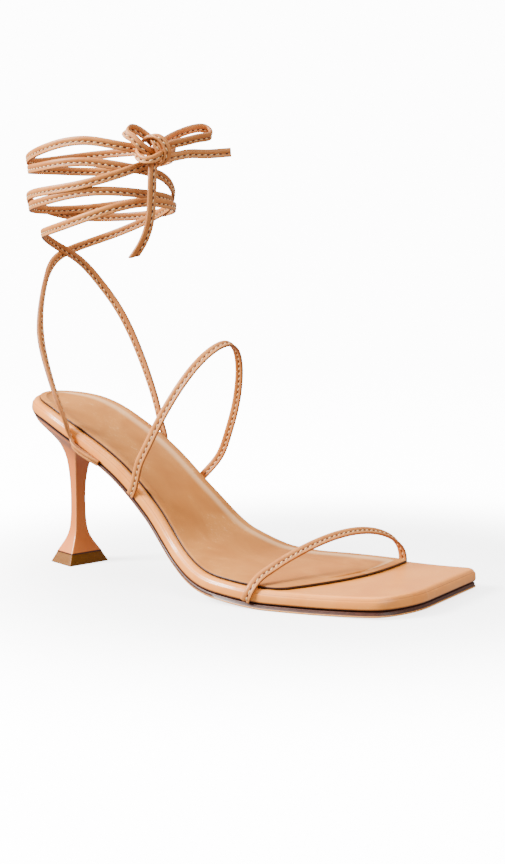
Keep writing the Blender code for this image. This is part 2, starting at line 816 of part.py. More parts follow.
def main():
    """Build the sandal."""
    clear_scene()
    shoe = bpy.data.collections.new("high_heel_sandal")
    bpy.context.scene.collection.children.link(shoe)
    leather = material("leather", LEATHER)
    build_outsole(material("sole_edge", SOLE_EDGE))
    build_platform(material("glossy_leather", GLOSSY_LEATHER))
    build_insole(material("sock_leather", SOCK_LEATHER))
    build_heel(material("heel_leather", HEEL_LEATHER))
    build_top_lift(material("lift_rubber", LIFT_RUBBER))
    build_toe_strap(leather)
    build_instep_strap(leather)
    build_ankle_ties(leather)
    build_bow(leather)


main()
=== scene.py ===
"""High heel sandal with ankle ties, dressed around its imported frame.

Lengths are in metres in the frame's own axes: +X to the toe, +Y to the foot's inner
side, +Z up, from the middle of the top-lift's underside.
"""

import math

import bmesh
import bpy
import numpy as np
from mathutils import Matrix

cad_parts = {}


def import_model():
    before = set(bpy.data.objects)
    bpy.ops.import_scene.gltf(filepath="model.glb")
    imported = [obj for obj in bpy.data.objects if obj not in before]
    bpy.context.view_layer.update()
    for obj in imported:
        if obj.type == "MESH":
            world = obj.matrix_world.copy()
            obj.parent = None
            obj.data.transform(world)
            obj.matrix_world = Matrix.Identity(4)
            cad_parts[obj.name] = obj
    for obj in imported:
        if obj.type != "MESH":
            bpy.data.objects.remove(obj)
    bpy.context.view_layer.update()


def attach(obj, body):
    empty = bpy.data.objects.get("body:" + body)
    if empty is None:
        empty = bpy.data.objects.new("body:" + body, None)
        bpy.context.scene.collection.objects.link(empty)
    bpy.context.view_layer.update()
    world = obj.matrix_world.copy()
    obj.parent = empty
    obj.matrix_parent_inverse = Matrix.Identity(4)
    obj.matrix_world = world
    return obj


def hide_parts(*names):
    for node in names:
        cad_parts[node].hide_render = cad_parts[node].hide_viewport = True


# The camera, fitted to the shoe's edges in the picture
CAMERA_AT = (0.4005, -0.4658, 0.1225)
CAMERA_AZIMUTH = 33.21
CAMERA_DOWN = 5.89
CAMERA_LENS = 56.0
SENSOR = 36.0
CLIP_START = 0.01

# The sole, measured along the floor and across
LENGTH = 0.203
HEEL_SETBACK = 0.0250
SEAT_WIDTH = 0.0495
BALL_WIDTH = 0.0845
TOE_WIDTH = 0.0665
SWING = 0.0140
SEAT_RISE = 0.0687
TOE_SPRING = 0.0012
SEAT_BACK = 0.0018
SEAT_ROUND = 0.036
SIDE_START = 0.0015
TOE_CORNER_INNER = (0.0040, 0.0040)
TOE_CORNER_OUTER = (0.0200, 0.0130)
TOE_FROM = 0.78
SEAT_TURNS = (2.5, 90, 24)
CORNER_TURNS = (6, 90, 15)
OUTSOLE_BALL = 0.0022
OUTSOLE_WAIST = 0.0013
OUTSOLE_FILLS = (0.45, 0.65)
PLATFORM = 0.0054
PLATFORM_EDGE = 0.0022
SOCK = 0.0013
SOCK_INSET = 0.0030
SOCK_FRONT = 0.1760
SOCK_SLANT = 0.0240
SOCK_CORNER = 0.08

# Points along each side between the seat and the toe's corner, the sock's as shares too
OUTSOLE_POINTS = 90
PLATFORM_POINTS = 110
SOCK_SIDE = (0.012, 1, 84)

# The seat's inner edge curls up, and the sock is dished there and crowned at the ball
SEAT_CUP = 0.0023
CUP_MIDDLE = 0.35
CUP_FADES = (0.020, 0.095)
SOCK_DISH = -0.0011
SOCK_CROWN = 0.0006
CROWN_FROM = (0.060, 0.125)
CROWN_WIDTH = 0.02
CROWN_RINGS = 6

# The heel and its top-lift
BREAST = 0.0440
LIFT_HEIGHT = 0.0047
LIFT_LENGTH = 0.0166
LIFT_WIDTH = 0.0218
LIFT_TOP_SHARE = 0.79
LIFT_TAPER = 0.12
HEEL_TURN = -13.0
NECK_LENGTH = 0.0047
NECK_WIDTH = 0.0056
ARRIS = 0.0006
SEAT_INSET = 0.0006
PLUG_SHARE = 0.9
HEEL_LEVELS = ((0, 0.3, 40), (0.31, 1, 80))
HEEL_SIDE_POINTS = 22
HEEL_RIM_POINTS = 6
LIFT_SIDE_POINTS = 8

# Straps and ties are strips of folded leather with one stitched edge
STRIP_WIDTH = 0.0039
STRIP_THICK = 0.0018
STITCH_PITCH = 0.0028
STITCH_LENGTH = 0.0017
STITCH_SLANT = 0.0004
STITCH_AT = -0.13
STITCH_MARGIN = 0.003
THREAD = 0.00025
THREAD_WIDE = 1.1
THREAD_HIGH = 0.9

# A needle hole's painted shade: its half length and half width in millimetres
HOLE = (0.66, 0.36)

# The hanging end is cut aslant, and a strap's ends are skived and tucked to the wall
END_CUT = 0.8
CUT_RINGS = 7
SKIVE = 0.55
SKIVE_RINGS = 6
TUCK = 0.0004

# Lengths between a path's points, and the knot's and the tail's own sizes
STRAP_STEP = 0.0009
TIE_STEP = 0.0012
BOW_STEP = 0.0008
KNOT_WIDTH = 0.0034
TAIL_WIDTH = 0.0032
TAIL_THICK = 0.0020

# Where straps and ties leave the sole, how far they reach, the ankle's oval and the bow
TOE_STRAP_OUTER = 0.1330
TOE_STRAP_LEAN = 0.0016
TOE_STRAP_INNER = 0.1683
TOE_STRAP_RISE = 0.0164
INSTEP_OUTER = 0.0727
INSTEP_INNER = 0.0728
INSTEP_REACH = 0.0306
INSTEP_RISE = 0.0640
TIE_OUTER = 0.0425
TIE_LEAN = -0.0060
TIE_INNER = 0.0530
ANKLE_FORWARD = 0.0138
ANKLE_INWARD = 0.0010
ANKLE_LENGTH = 0.0694
ANKLE_WIDTH = 0.0538
WRAP_HEIGHT = 0.1900
OUTER_TWIST = -65.0
TWIST_STARTS = 0.55
TWIST_ENDS = 0.68
KNOT_AT = np.array([0.0547, -0.0112, 0.1818])
BOW_TURN = 36.9

# The gap between curved pieces, and the hair's breadth between their covers
GAP = 0.0003
HAIR = 0.0001

# The lights: name, place, aim, size and power
LIGHTS = (
    ("key", (-0.75, -0.85, 0.85), (0.03, 0.0, 0.08), 0.5, 74.0),
    ("overhead", (0.0, 0.25, 1.30), (0.05, 0.0, 0.05), 1.0, 14.0),
    ("right_fill", (1.2, -0.5, 0.6), (0.06, 0.0, 0.12), 1.0, 10.0),
)
WORLD_LIGHT = 0.5
FLOOR_GLOW = 12.0

# The painted shadow on the floor: the glow's dimmer middle and how far it reaches, in millimetres,
# and how dim it is
PAINTED_SHADOW_MIDDLE = (100.0, 50.0, 0.0)
PAINTED_SHADOW_REACH = (260.0, 90.0)
PAINTED_SHADOW_DIM = 0.28

# The stage: from its front edge, flat, then up round a bend, in metres from the shoe
STAGE_FRONT = -2.5
STAGE_FLAT = 1.6
STAGE_BEND = 0.9
STAGE_TOP = 4.0
STAGE_SIDE = 4.0

# Shares of the named sizes along the sole, and along the heel from its foot
LAST = (
    # along seat  ball  toe   swing rise  spring
    (0.0, 0.90, 0.00, 0.00, 0.09, 1.00, 0.0),
    (0.1, 0.97, 0.00, 0.00, 0.11, 0.94, 0.0),
    (0.2, 0.99, 0.00, 0.00, 0.14, 0.81, 0.0),
    (0.3, 0.97, 0.00, 0.00, 0.16, 0.64, 0.0),
    (0.4, 0.98, 0.00, 0.00, 0.15, 0.40, 0.0),
    (0.5, 0.76, 0.25, 0.00, 0.09, 0.15, 0.0),
    (0.6, 0.25, 0.77, 0.00, 0.10, 0.03, 0.0),
    (0.7, 0.00, 0.99, 0.00, 0.37, 0.00, 0.0),
    (0.8, 0.00, 0.85, 0.15, 0.57, 0.00, 0.0),
    (0.9, 0.00, 0.38, 0.65, 0.69, 0.00, 0.3),
    (1.0, 0.00, 0.00, 1.00, 0.94, 0.00, 1.0),
)
HEEL_ROWS = (
    # height flare hollow
    (0.00, 1.00, 0.00), (0.05, 0.68, 0.00), (0.10, 0.38, 0.00), (0.15, 0.18, 0.00),
    (0.20, 0.08, 0.00), (0.30, 0.01, 0.00), (0.40, 0.00, 0.00), (0.50, 0.00, 0.01),
    (0.60, 0.00, 0.04), (0.70, 0.00, 0.10), (0.80, 0.00, 0.26), (0.85, 0.00, 0.43),
    (0.90, 0.00, 0.66), (0.95, 0.00, 0.88), (1.00, 0.00, 1.00),
)

# The toe strap: the slope of its face to the toe; its arch: how far its top lies to the
# inner side, how full it is, its height; the share of its run over which either end turns
# off the wall; and the degrees turned over the arch at its points
TOE_STRAP_TILT = 0.6
TOE_ARCH_LEAN = 1.55
TOE_ARCH_ROUND = 0.45
TOE_ARCH_FULL = 0.95
TOE_STRAP_EASE = 0.16
TOE_ARCH_TURNS = (2, 6, 12, 25, 45, 65, 90, 115, 140, 158, 170, 177)

# The instep strap's loop: its swell past the seat's sides, how far its top leans past its
# reach, then how full each side is and how it bends forward, outer side first; and as above
INSTEP_SWELL = 1.12
INSTEP_LEAN = 1.09
INSTEP_SIDES = ((3.0, 1.0), (1.9, 0.7))
INSTEP_EASE = 0.10
INSTEP_TURNS = (6, 10, 18, 30, 45, 60, 75, 90, 105, 120, 135, 148, 159, 168)

# Degrees turned round the ankle, share of its oval, share of the wraps' height
OUTER_TIE = (
    # turn  reach  height
    (-88, 0.95, 0.350), (-95, 0.97, 0.400), (-110, 0.92, 0.470), (-125, 0.90, 0.550),
    (-140, 0.82, 0.630), (-155, 0.78, 0.670), (-190, 0.84, 0.730), (-220, 0.97, 0.760),
    (-250, 1.00, 0.790), (-290, 1.00, 0.830), (-330, 1.00, 0.855), (-380, 1.00, 0.865),
    (-420, 1.00, 0.870), (-460, 1.00, 0.855), (-510, 0.96, 0.845), (-550, 0.97, 0.845),
    (-600, 1.00, 0.855), (-640, 1.00, 0.865), (-690, 1.02, 0.870), (-720, 1.02, 0.905),
    (-750, 1.00, 0.920), (-790, 1.00, 0.935), (-830, 1.00, 0.930), (-880, 0.96, 0.935),
    (-920, 0.98, 0.940), (-960, 1.00, 0.940), (-1000, 1.00, 0.950), (-1050, 1.00, 0.955),
    (-1080, 1.05, 0.955), (-1100, 1.12, 0.955),
)
INNER_TIE = (
    # turn  reach  height
    (68, 1.07, 0.320), (72, 1.05, 0.365), (80, 1.00, 0.445), (92, 0.94, 0.535),
    (106, 0.89, 0.610), (124, 0.87, 0.675), (145, 0.87, 0.730), (170, 0.84, 0.760),
    (200, 0.80, 0.780), (230, 0.81, 0.785), (270, 0.96, 0.795), (300, 1.04, 0.820),
    (335, 1.04, 0.845), (370, 1.04, 0.845), (430, 1.04, 0.835), (475, 1.04, 0.830),
    (510, 1.02, 0.835), (550, 0.98, 0.855), (590, 1.00, 0.870), (650, 1.04, 0.885),
    (680, 1.04, 0.910), (715, 1.04, 0.945), (760, 1.04, 0.975), (810, 1.04, 0.985),
    (845, 1.03, 0.980), (870, 1.01, 0.970), (910, 0.98, 0.955), (940, 0.99, 0.955),
    (980, 1.03, 0.970), (1015, 1.04, 0.980), (1035, 1.05, 0.970), (1057, 1.12, 0.960),
)

# The bow's loops and ends, from the middle of the knot
LOOP_OUTER = (
    (-0.0015, 0.0005, 0.0030), (-0.0045, -0.0005, 0.0060), (-0.0075, -0.0025, 0.0085),
    (-0.0090, -0.0060, 0.0090), (-0.0090, -0.0085, 0.0070), (-0.0060, -0.0085, 0.0050),
    (-0.0030, -0.0075, 0.0020), (-0.0010, -0.0040, -0.0005), (-0.0005, -0.0010, -0.0015),
)
LOOP_INNER = (
    (0.0005, 0.0010, 0.0020), (0.0020, 0.0055, 0.0050), (0.0035, 0.0120, 0.0080),
    (0.0065, 0.0190, 0.0105), (0.0090, 0.0240, 0.0105), (0.0115, 0.0235, 0.0085),
    (0.0110, 0.0160, 0.0060), (0.0080, 0.0090, 0.0040), (0.0050, 0.0040, 0.0025),
    (0.0010, 0.0010, 0.0005),
)
END_SIDE = (
    (0.0005, 0.0010, -0.0025), (0.0040, 0.0050, -0.0025), (0.0080, 0.0110, -0.0010),
    (0.0125, 0.0190, -0.0005), (0.0160, 0.0235, 0.0000), (0.0195, 0.0270, 0.0005),
)
END_HANGING = (
    (0.0005, 0.0000, -0.0010), (0.0005, -0.0025, -0.0060), (0.0010, -0.0040, -0.0120),
    (0.0005, -0.0040, -0.0220), (-0.0010, -0.0045, -0.0325), (-0.0040, -0.0055, -0.0395),
    (-0.0070, -0.0065, -0.0440),
)
# The strands of the knot in the bow's frame: to the right, away and up
KNOT_FRONT = (
    (-0.0062, 0.0030, 0.0010), (-0.0078, -0.0010, -0.0006), (-0.0066, -0.0050, -0.0036),
    (-0.0030, -0.0072, -0.0046), (0.0006, -0.0066, -0.0034), (0.0028, -0.0044, -0.0014),
    (0.0034, -0.0010, 0.0004),
)
KNOT_RIGHT = (
    (-0.0046, 0.0010, 0.0040), (-0.0026, -0.0030, 0.0052), (0.0012, -0.0052, 0.0048),
    (0.0038, -0.0056, 0.0022), (0.0048, -0.0052, -0.0010), (0.0038, -0.0036, -0.0042),
    (0.0016, -0.0002, -0.0056),
)
KNOT_CORE = (
    (-0.0016, 0.0020, 0.0050), (-0.0012, -0.0020, 0.0046), (0.0004, -0.0046, 0.0018),
    (0.0018, -0.0044, -0.0014), (0.0020, -0.0010, -0.0040),
)

# Along a stitch: share of its length, its lift and its size as shares of the thread
STITCH_SHAPE = (
    (0.00, -0.8, 0.5), (0.20, 0.45, 0.95), (0.50, 0.90, 1.0),
    (0.80, 0.45, 0.95), (1.00, -0.8, 0.5),
)

# Across the folded strip: share of its width from the middle, share of its thickness
STRIP_FACE = (
    (0.500, 0.00), (0.482, 0.22), (0.430, 0.38), (0.340, 0.48), (0.220, 0.50),
    (0.110, 0.47), (0.020, 0.38), (-0.040, 0.31), (-0.090, 0.29), (-0.130, 0.24),
    (-0.170, 0.29), (-0.240, 0.33), (-0.350, 0.34), (-0.440, 0.31), (-0.490, 0.24),
)


# Geometry helpers
UP = np.array([0.0, 0.0, 1.0])


def unit(vector):
    """The vector at a length of one."""
    return vector / np.linalg.norm(vector)


def blend(one, other, share):
    """A value or a point at a share of the way from one to the other."""
    return one * (1 - share) + other * share


def level_ways(azimuth):
    """The ways to the right and away for a look along an azimuth in degrees."""
    angle = math.radians(azimuth)
    right = np.array([math.cos(angle), math.sin(angle), 0.0])
    return right, np.array([-right[1], right[0], 0.0])


def natural_bends(xs, ys):
    """Second derivatives of the natural cubic through a table."""
    steps = np.diff(xs)
    count = len(xs)
    matrix = np.eye(count)
    right = np.zeros((count,) + ys.shape[1:])
    for i in range(1, count - 1):
        matrix[i, i - 1] = steps[i - 1]
        matrix[i, i] = 2 * (steps[i - 1] + steps[i])
        matrix[i, i + 1] = steps[i]
        right[i] = 6 * ((ys[i + 1] - ys[i]) / steps[i] - (ys[i] - ys[i - 1]) / steps[i - 1])
    return np.linalg.solve(matrix, right)


def flowing(xs, ys, at, bend):
    """A natural cubic through a table's column with its second derivatives."""
    i = int(np.clip(np.searchsorted(xs, at) - 1, 0, len(xs) - 2))
    step = xs[i + 1] - xs[i]
    a = (xs[i + 1] - at) / step
    b = (at - xs[i]) / step
    curve = ((a ** 3 - a) * bend[i] + (b ** 3 - b) * bend[i + 1]) * step ** 2 / 6
    return a * ys[i] + b * ys[i + 1] + curve


def steady(xs, ys, at):
    """A cubic through a table's column that never overshoots."""
    slopes = [(ys[i + 1] - ys[i]) / (xs[i + 1] - xs[i]) for i in range(len(xs) - 1)]
    ends = [slopes[0]]
    for before, after in zip(slopes, slopes[1:]):
        ends.append(2 * before * after / (before + after) if before * after > 0 else 0.0)
    ends.append(slopes[-1])
    i = int(np.clip(np.searchsorted(xs, at) - 1, 0, len(xs) - 2))
    step = xs[i + 1] - xs[i]
    t = (at - xs[i]) / step
    start = (1 + 2 * t) * (1 - t) ** 2 * ys[i] + t * (1 - t) ** 2 * step * ends[i]
    return start + t * t * (3 - 2 * t) * ys[i + 1] + t * t * (t - 1) * step * ends[i + 1]


def run_lengths(points):
    """The length from a path's start to each of its points."""
    return np.append(0, np.cumsum(np.linalg.norm(np.diff(points, axis=0), axis=1)))


def evenly(points, count):
    """So many points at even lengths along a path."""
    lengths = run_lengths(points)
    stops = np.linspace(0, lengths[-1], count)
    return np.array([[np.interp(s, lengths, points[:, k]) for k in range(3)] for s in stops])


def resampled(points, step):
    """A smooth path through the points, with a point at every step."""
    points = np.array(points, float)
    lengths = run_lengths(points)
    bend = natural_bends(lengths, points)
    places = np.linspace(0, lengths[-1], 40 * len(points))
    fine = np.array([flowing(lengths, points, s, bend) for s in places])
    return evenly(fine, max(4, round(run_lengths(fine)[-1] / step)) + 1)


# The last
COLUMN_NAMES = ("along", "seat", "ball", "toe", "swing", "rise", "spring")
COLUMNS = {name: np.array([row[i] for row in LAST]) for i, name in enumerate(COLUMN_NAMES)}
BENDS = {name: natural_bends(COLUMNS["along"], COLUMNS[name]) for name in COLUMN_NAMES[1:5]}


def on_last(name, share):
    """One flowing column of the last at a share of the length."""
    return flowing(COLUMNS["along"], COLUMNS[name], share, BENDS[name])


def sole_line(along):
    """The point of the platform's underside on the centre line, so far from the back."""
    share = along / LENGTH
    rise = SEAT_RISE * steady(COLUMNS["along"], COLUMNS["rise"], share)
    spring = TOE_SPRING * steady(COLUMNS["along"], COLUMNS["spring"], share)
    height = OUTSOLE_BALL + GAP + rise + spring
    return np.array([along - HEEL_SETBACK, SWING * on_last("swing", share), height])


def sole_frame(along):
    """The sole line's point, the way across it to the inner side, and the way up."""
    step = LENGTH / 400
    point = sole_line(along)
    forward = sole_line(along + step) - sole_line(along - step)
    forward[1] *= 1 - np.clip((along / LENGTH - TOE_FROM) / (1 - TOE_FROM), 0, 1)
    forward = unit(forward)
    across = unit(np.array([-forward[1], forward[0], 0.0]))
    return point, across, np.cross(forward, across)


def half_width(along):
    """Half the platform's width, before its ends are rounded."""
    share = along / LENGTH
    width = SEAT_WIDTH * on_last("seat", share) + BALL_WIDTH * on_last("ball", share)
    return (width + TOE_WIDTH * on_last("toe", share)) / 2


def on_sole(along, aside, height):
    """A point so far from the back, to the inner side and above the sole line."""
    point, across, up = sole_frame(along)
    return point + across * aside + up * height


def seat_rows(inset):
    """Places along and half widths round the back of the seat."""
    rows = []
    for angle in np.radians(np.linspace(*SEAT_TURNS)):
        along = SEAT_BACK + inset + (SEAT_ROUND - inset) * (1 - math.cos(angle))
        rows.append((along, (half_width(along) - inset) * math.sin(angle)))
    return rows


def front_rows(start, stop, inset, middle, corner):
    """Places along and half widths up one side and round its front corner."""
    turn, reach = corner
    rows = [(s, half_width(s) - inset) for s in np.linspace(start, stop - reach, middle)]
    for angle in np.radians(np.linspace(*CORNER_TURNS)):
        along = stop - reach + (reach - inset) * math.sin(angle)
        rows.append((along, half_width(along) - turn + (turn - inset) * math.cos(angle)))
    return rows


def outline(start, stop, inset, middle, corners=(TOE_CORNER_INNER, TOE_CORNER_OUTER)):
    """Pairs of places on the inner and outer edge, from the back to the front."""
    first = start + inset
    seat = []
    if start == 0:
        seat = seat_rows(inset)
        first = SEAT_BACK + SEAT_ROUND + SIDE_START
    inner, outer = [seat + front_rows(first, stop, inset, middle, corner) for corner in corners]
    return [(one, (other[0], -other[1])) for one, other in zip(inner, outer)]


def smooth_step(low, high, at):
    """Zero below low, one above high, smooth between."""
    t = min(1.0, max(0.0, (at - low) / (high - low)))
    return t * t * (3 - 2 * t)


def cup(along, aside):
    """How far the seat's edge curls up: most at its inner side, less round its back."""
    over = CUP_MIDDLE + (1 - CUP_MIDDLE) * aside / (SEAT_WIDTH / 2)
    return SEAT_CUP * min(1.0, max(0.0, over)) * (1 - smooth_step(*CUP_FADES, along))


def loop_points(pairs, height):
    """One closed ring on the sole: up the inner edge and back down the outer one."""
    inner = [on_sole(*pair[0], height(*pair[0])) for pair in pairs]
    outer = [on_sole(*pair[1], height(*pair[1])) for pair in pairs]
    return inner + outer[::-1]


# Meshes
def add_mesh(name, vertices, faces, finishes, places=None, indices=None, sharp=60):
    """A mesh object with its finishes, and each point's place on its piece."""
    mesh = bpy.data.meshes.new(name)
    mesh.from_pydata([tuple(point) for point in vertices], [], faces)
    for finish in finishes:
        mesh.materials.append(finish)
    if indices is not None:
        mesh.polygons.foreach_set("material_index", indices)
    if places is not None:
        attribute = mesh.attributes.new("place", "FLOAT_VECTOR", "POINT")
        attribute.data.foreach_set("vector", np.array(places, np.float32).ravel())
    mesh.shade_smooth()
    mesh.set_sharp_from_angle(angle=math.radians(sharp))
    made = bpy.data.objects.new(name, mesh)
    bpy.context.scene.collection.objects.link(made)
    shaped = bmesh.new()
    shaped.from_mesh(mesh)
    bmesh.ops.recalc_face_normals(shaped, faces=shaped.faces)
    shaped.to_mesh(mesh)
    shaped.free()
    return made


def ring_faces(rings, count, first=0):
    """The side faces between closed rings that follow each other."""
    faces = []
    for level in range(rings - 1):
        low = first + level * count
        for i in range(count):
            j = (i + 1) % count
            faces.append((low + i, low + j, low + count + j, low + count + i))
    return faces


def closed_faces(rings, count, first=0):
    """The side faces between closed rings, and a face at either end."""
    last = first + (rings - 1) * count
    ends = [tuple(first + i for i in range(count)), tuple(last + i for i in reversed(range(count)))]
    return ring_faces(rings, count, first) + ends


def layer(name, finish, levels, crowns=(0.0, 0.0), lines=1):
    """A layer of the sole, closed below and above.

    levels gives each ring's pairs of edge places, its height there and its mark on the
    wall; crowns is how far the top rises between its edges at the seat and at the ball,
    over so many lines.
    """
    rings = [loop_points(pairs, height) for pairs, height, mark in levels]
    marks = [mark for pairs, height, mark in levels]
    count = len(rings[0])
    vertices = [point for ring in rings for point in ring]
    half = count // 2
    places = [(i / count, mark, float(i >= half)) for mark in marks for i in range(count)]
    faces = ring_faces(len(rings), count)
    for i in range(half - 1):
        other = count - 1 - i
        faces.append((i, i + 1, other - 1, other))
    top = (len(rings) - 1) * count
    edges = [(rings[-1][i], rings[-1][count - 1 - i]) for i in range(half)]
    ups = [sole_up(inner, outer) for inner, outer in edges]
    rows = [[top + i for i in range(half)]]
    for line in range(1, lines):
        share = line / lines
        rise = 1 - (2 * share - 1) ** 4
        row = []
        for i, (inner, outer) in enumerate(edges):
            width = np.linalg.norm(outer - inner)
            ease = min(1.0, width / CROWN_WIDTH, i / CROWN_RINGS)
            front = smooth_step(*CROWN_FROM, (inner[0] + outer[0]) / 2 + HEEL_SETBACK)
            row.append(len(vertices))
            vertices.append(blend(inner, outer, share) + ups[i] * rise * ease * blend(*crowns, front))
            places.append((i / count, marks[-1], share))
        rows.append(row)
    rows.append([top + count - 1 - i for i in range(half)])
    for near, far in zip(rows, rows[1:]):
        for i in range(half - 1):
            faces.append((near[i], far[i], far[i + 1], near[i + 1]))
    return add_mesh(name, vertices, faces, [finish], places)


def sole_up(inner, outer):
    """The way up between two edge points of the sole."""
    middle = (inner[0] + outer[0]) / 2
    return sole_frame(float(np.clip(middle + HEEL_SETBACK, 0.002, LENGTH)))[2]


def strip_rings(path, way, skives, width, thick, cut):
    """Section rings of a folded strip along a path, with each point's place in millimetres.

    cut is the slope of the strip's last end to its run.
    """
    count = len(path)
    shape = [(a, h, 1.0) for a, h in STRIP_FACE] + [(a, -h, -1.0) for a, h in STRIP_FACE[:0:-1]]
    rings = []
    places = []
    frames = []
    run = 0.0
    for i, point in enumerate(path):
        forward = unit(path[min(i + 1, count - 1)] - path[max(i - 1, 0)])
        across = way(point, i / (count - 1), forward)
        across = unit(across - forward * np.dot(across, forward))
        out = np.cross(forward, across)
        if i:
            run += np.linalg.norm(point - path[i - 1])
        to_go = count - 1 - i
        from_end = min(i if skives[0] else count, to_go if skives[1] else count)
        here = thick * min(1.0, SKIVE + (1 - SKIVE) * from_end / SKIVE_RINGS)
        slope = cut * max(0.0, 1 - to_go / CUT_RINGS)
        aslant = across + forward * slope
        rings.append([point + aslant * width * a + out * here * h for a, h, _ in shape])
        places += [(run * 1000, a * STRIP_WIDTH * 1000, side) for a, h, side in shape]
        frames.append((point, across, out, run, here))
    return rings, places, frames


def stitch_points(frames, side, width):
    """Rings of short thread bulges that lie a little aslant in a strip's stitch groove."""
    runs = np.array([frame[3] for frame in frames])
    groove = dict(STRIP_FACE)[STITCH_AT]
    stitches = []
    for k in range(int((runs[-1] - STITCH_MARGIN) / STITCH_PITCH)):
        start = STITCH_PITCH * (k + 0.5) - 0.5 * STITCH_LENGTH
        rings = []
        for part, lift, size in STITCH_SHAPE:
            at = start + STITCH_LENGTH * part
            i = int(np.clip(np.searchsorted(runs, at) - 1, 0, len(runs) - 2))
            t = (at - runs[i]) / (runs[i + 1] - runs[i])
            point, across, out = [blend(frames[i][j], frames[i + 1][j], t) for j in range(3)]
            across = unit(across)
            base = point + across * (width * STITCH_AT + STITCH_SLANT * (part - 0.5))
            base = base + out * side * (frames[i][4] * groove + THREAD * lift)
            ring = []
            for angle in np.radians(range(0, 360, 60)):
                wide = across * math.cos(angle) * THREAD_WIDE
                high = out * math.sin(angle) * THREAD_HIGH
                ring.append(base + (wide + high) * THREAD * size)
            rings.append(ring)
        stitches.append(rings)
    return stitches


def strip(name, finishes, runs, width=STRIP_WIDTH, thick=STRIP_THICK, sides=(1, -1), cut=0.0):
    """Folded leather strips and their thread: each run's path, way across and skived ends."""
    vertices = []
    faces = []
    places = []
    indices = []
    for run in runs:
        rings, marks, frames = strip_rings(*run, width, thick, cut)
        if not sides:
            marks = [(along, across, 0.0) for along, across, side in marks]
        made = closed_faces(len(rings), len(rings[0]), len(vertices))
        vertices += [point for ring in rings for point in ring]
        places += marks
        faces += made
        indices += [0] * len(made)
        for side in sides:
            for stitch in stitch_points(frames, side, width):
                made = ring_faces(len(stitch), len(stitch[0]), len(vertices))
                vertices += [point for ring in stitch for point in ring]
                faces += made
                indices += [1] * len(made)
        places += [(0.0, 0.0, 0.0)] * (len(vertices) - len(places))
    return add_mesh(name, vertices, faces, finishes, places, indices)


# Shader maths
def operator(operation):
    """A method that adds a Math node with the socket first."""
    def act(self, *others):
        values = dict(enumerate((self, *others)))
        return self.finish.node("ShaderNodeMath", {"operation": operation}, values)
    return act


class Shade:
    """A socket whose arithmetic adds Math nodes."""

    def __init__(self, finish, socket):
        self.finish = finish
        self.socket = socket

    __add__ = __radd__ = operator("ADD")
    __sub__ = operator("SUBTRACT")
    __mul__ = __rmul__ = operator("MULTIPLY")
    __truediv__ = operator("DIVIDE")
    __pow__ = operator("POWER")
    __abs__ = operator("ABSOLUTE")
    fraction = operator("FRACT")

    def ramp(self, low, high):
        """Zero below low, one above high, smooth between; low may be the larger."""
        settings = {"interpolation_type": "SMOOTHSTEP"}
        values = {0: self, 1: low, 2: high, 3: 0.0, 4: 1.0}
        if low > high:
            values = {0: self, 1: high, 2: low, 3: 1.0, 4: 0.0}
        return self.finish.node("ShaderNodeMapRange", settings, values)


class Finish:
    """A material, with the way to add nodes to it."""

    def __init__(self, name, **constants):
        self.material = bpy.data.materials.new(name)
        self.material.use_nodes = True
        self.tree = self.material.node_tree
        self.shader = self.tree.nodes["Principled BSDF"]
        for key, value in constants.items():
            self.shader.inputs[key.replace("_", " ")].default_value = value

    def node(self, kind, settings=None, values=None, out=0):
        """Add a node: its settings first, then the values or links of its sockets."""
        made = self.tree.nodes.new(kind)
        for key, value in (settings or {}).items():
            setattr(made, key, value)
        for key, value in (values or {}).items():
            if isinstance(value, Shade):
                self.tree.links.new(value.socket, made.inputs[key])
            else:
                made.inputs[key].default_value = value
        return Shade(self, made.outputs[out])

    def feed(self, **shades):
        """Link sockets of the shader, and give the material."""
        for key, shade in shades.items():
            self.tree.links.new(shade.socket, self.shader.inputs[key.replace("_", " ")])
        return self.material

    def here(self, stretch=(1.0, 1.0, 1.0)):
        """The point's own coordinates in millimetres, stretched."""
        spot = self.node("ShaderNodeTexCoord", out=3)
        scale = tuple(1000.0 * s for s in stretch)
        return self.node("ShaderNodeVectorMath", {"operation": "MULTIPLY"}, {0: spot, 1: scale})

    def place(self):
        """The piece's own place attribute as three values."""
        spot = self.node("ShaderNodeAttribute", {"attribute_name": "place"}, out=1)
        apart = "ShaderNodeSeparateXYZ"
        return [self.node(apart, values={0: spot}, out=i) for i in range(3)]

    def noise(self, size, detail=2.0, rough=0.5, at=None, warp=0.0):
        """Cloudy noise whose features are so many millimetres across."""
        values = {"Vector": at or self.here(), "Scale": 1.0 / size, "Detail": detail,
                  "Roughness": rough, "Distortion": warp}
        return self.node("ShaderNodeTexNoise", values=values)

    def mix(self, factor, one, other):
        """A colour between two colours."""
        return self.node("ShaderNodeMix", {"data_type": "RGBA"}, {0: factor, 6: one, 7: other}, out=2)

    def bump(self, height, depth, under=None):
        """A bump whose height of one stands so many millimetres proud."""
        values = {"Height": height, "Distance": depth / 1000.0, "Strength": 1.0}
        if under is not None:
            values["Normal"] = under
        return self.node("ShaderNodeBump", values=values)


def tone(red, green, blue):
    """A colour as the eye reads it, out of 255, for a shader."""
    line = []
    for value in (red, green, blue):
        c = value / 255.0
        line.append(c / 12.92 if c <= 0.04045 else ((c + 0.055) / 1.055) ** 2.4)
    return (*line, 1.0)


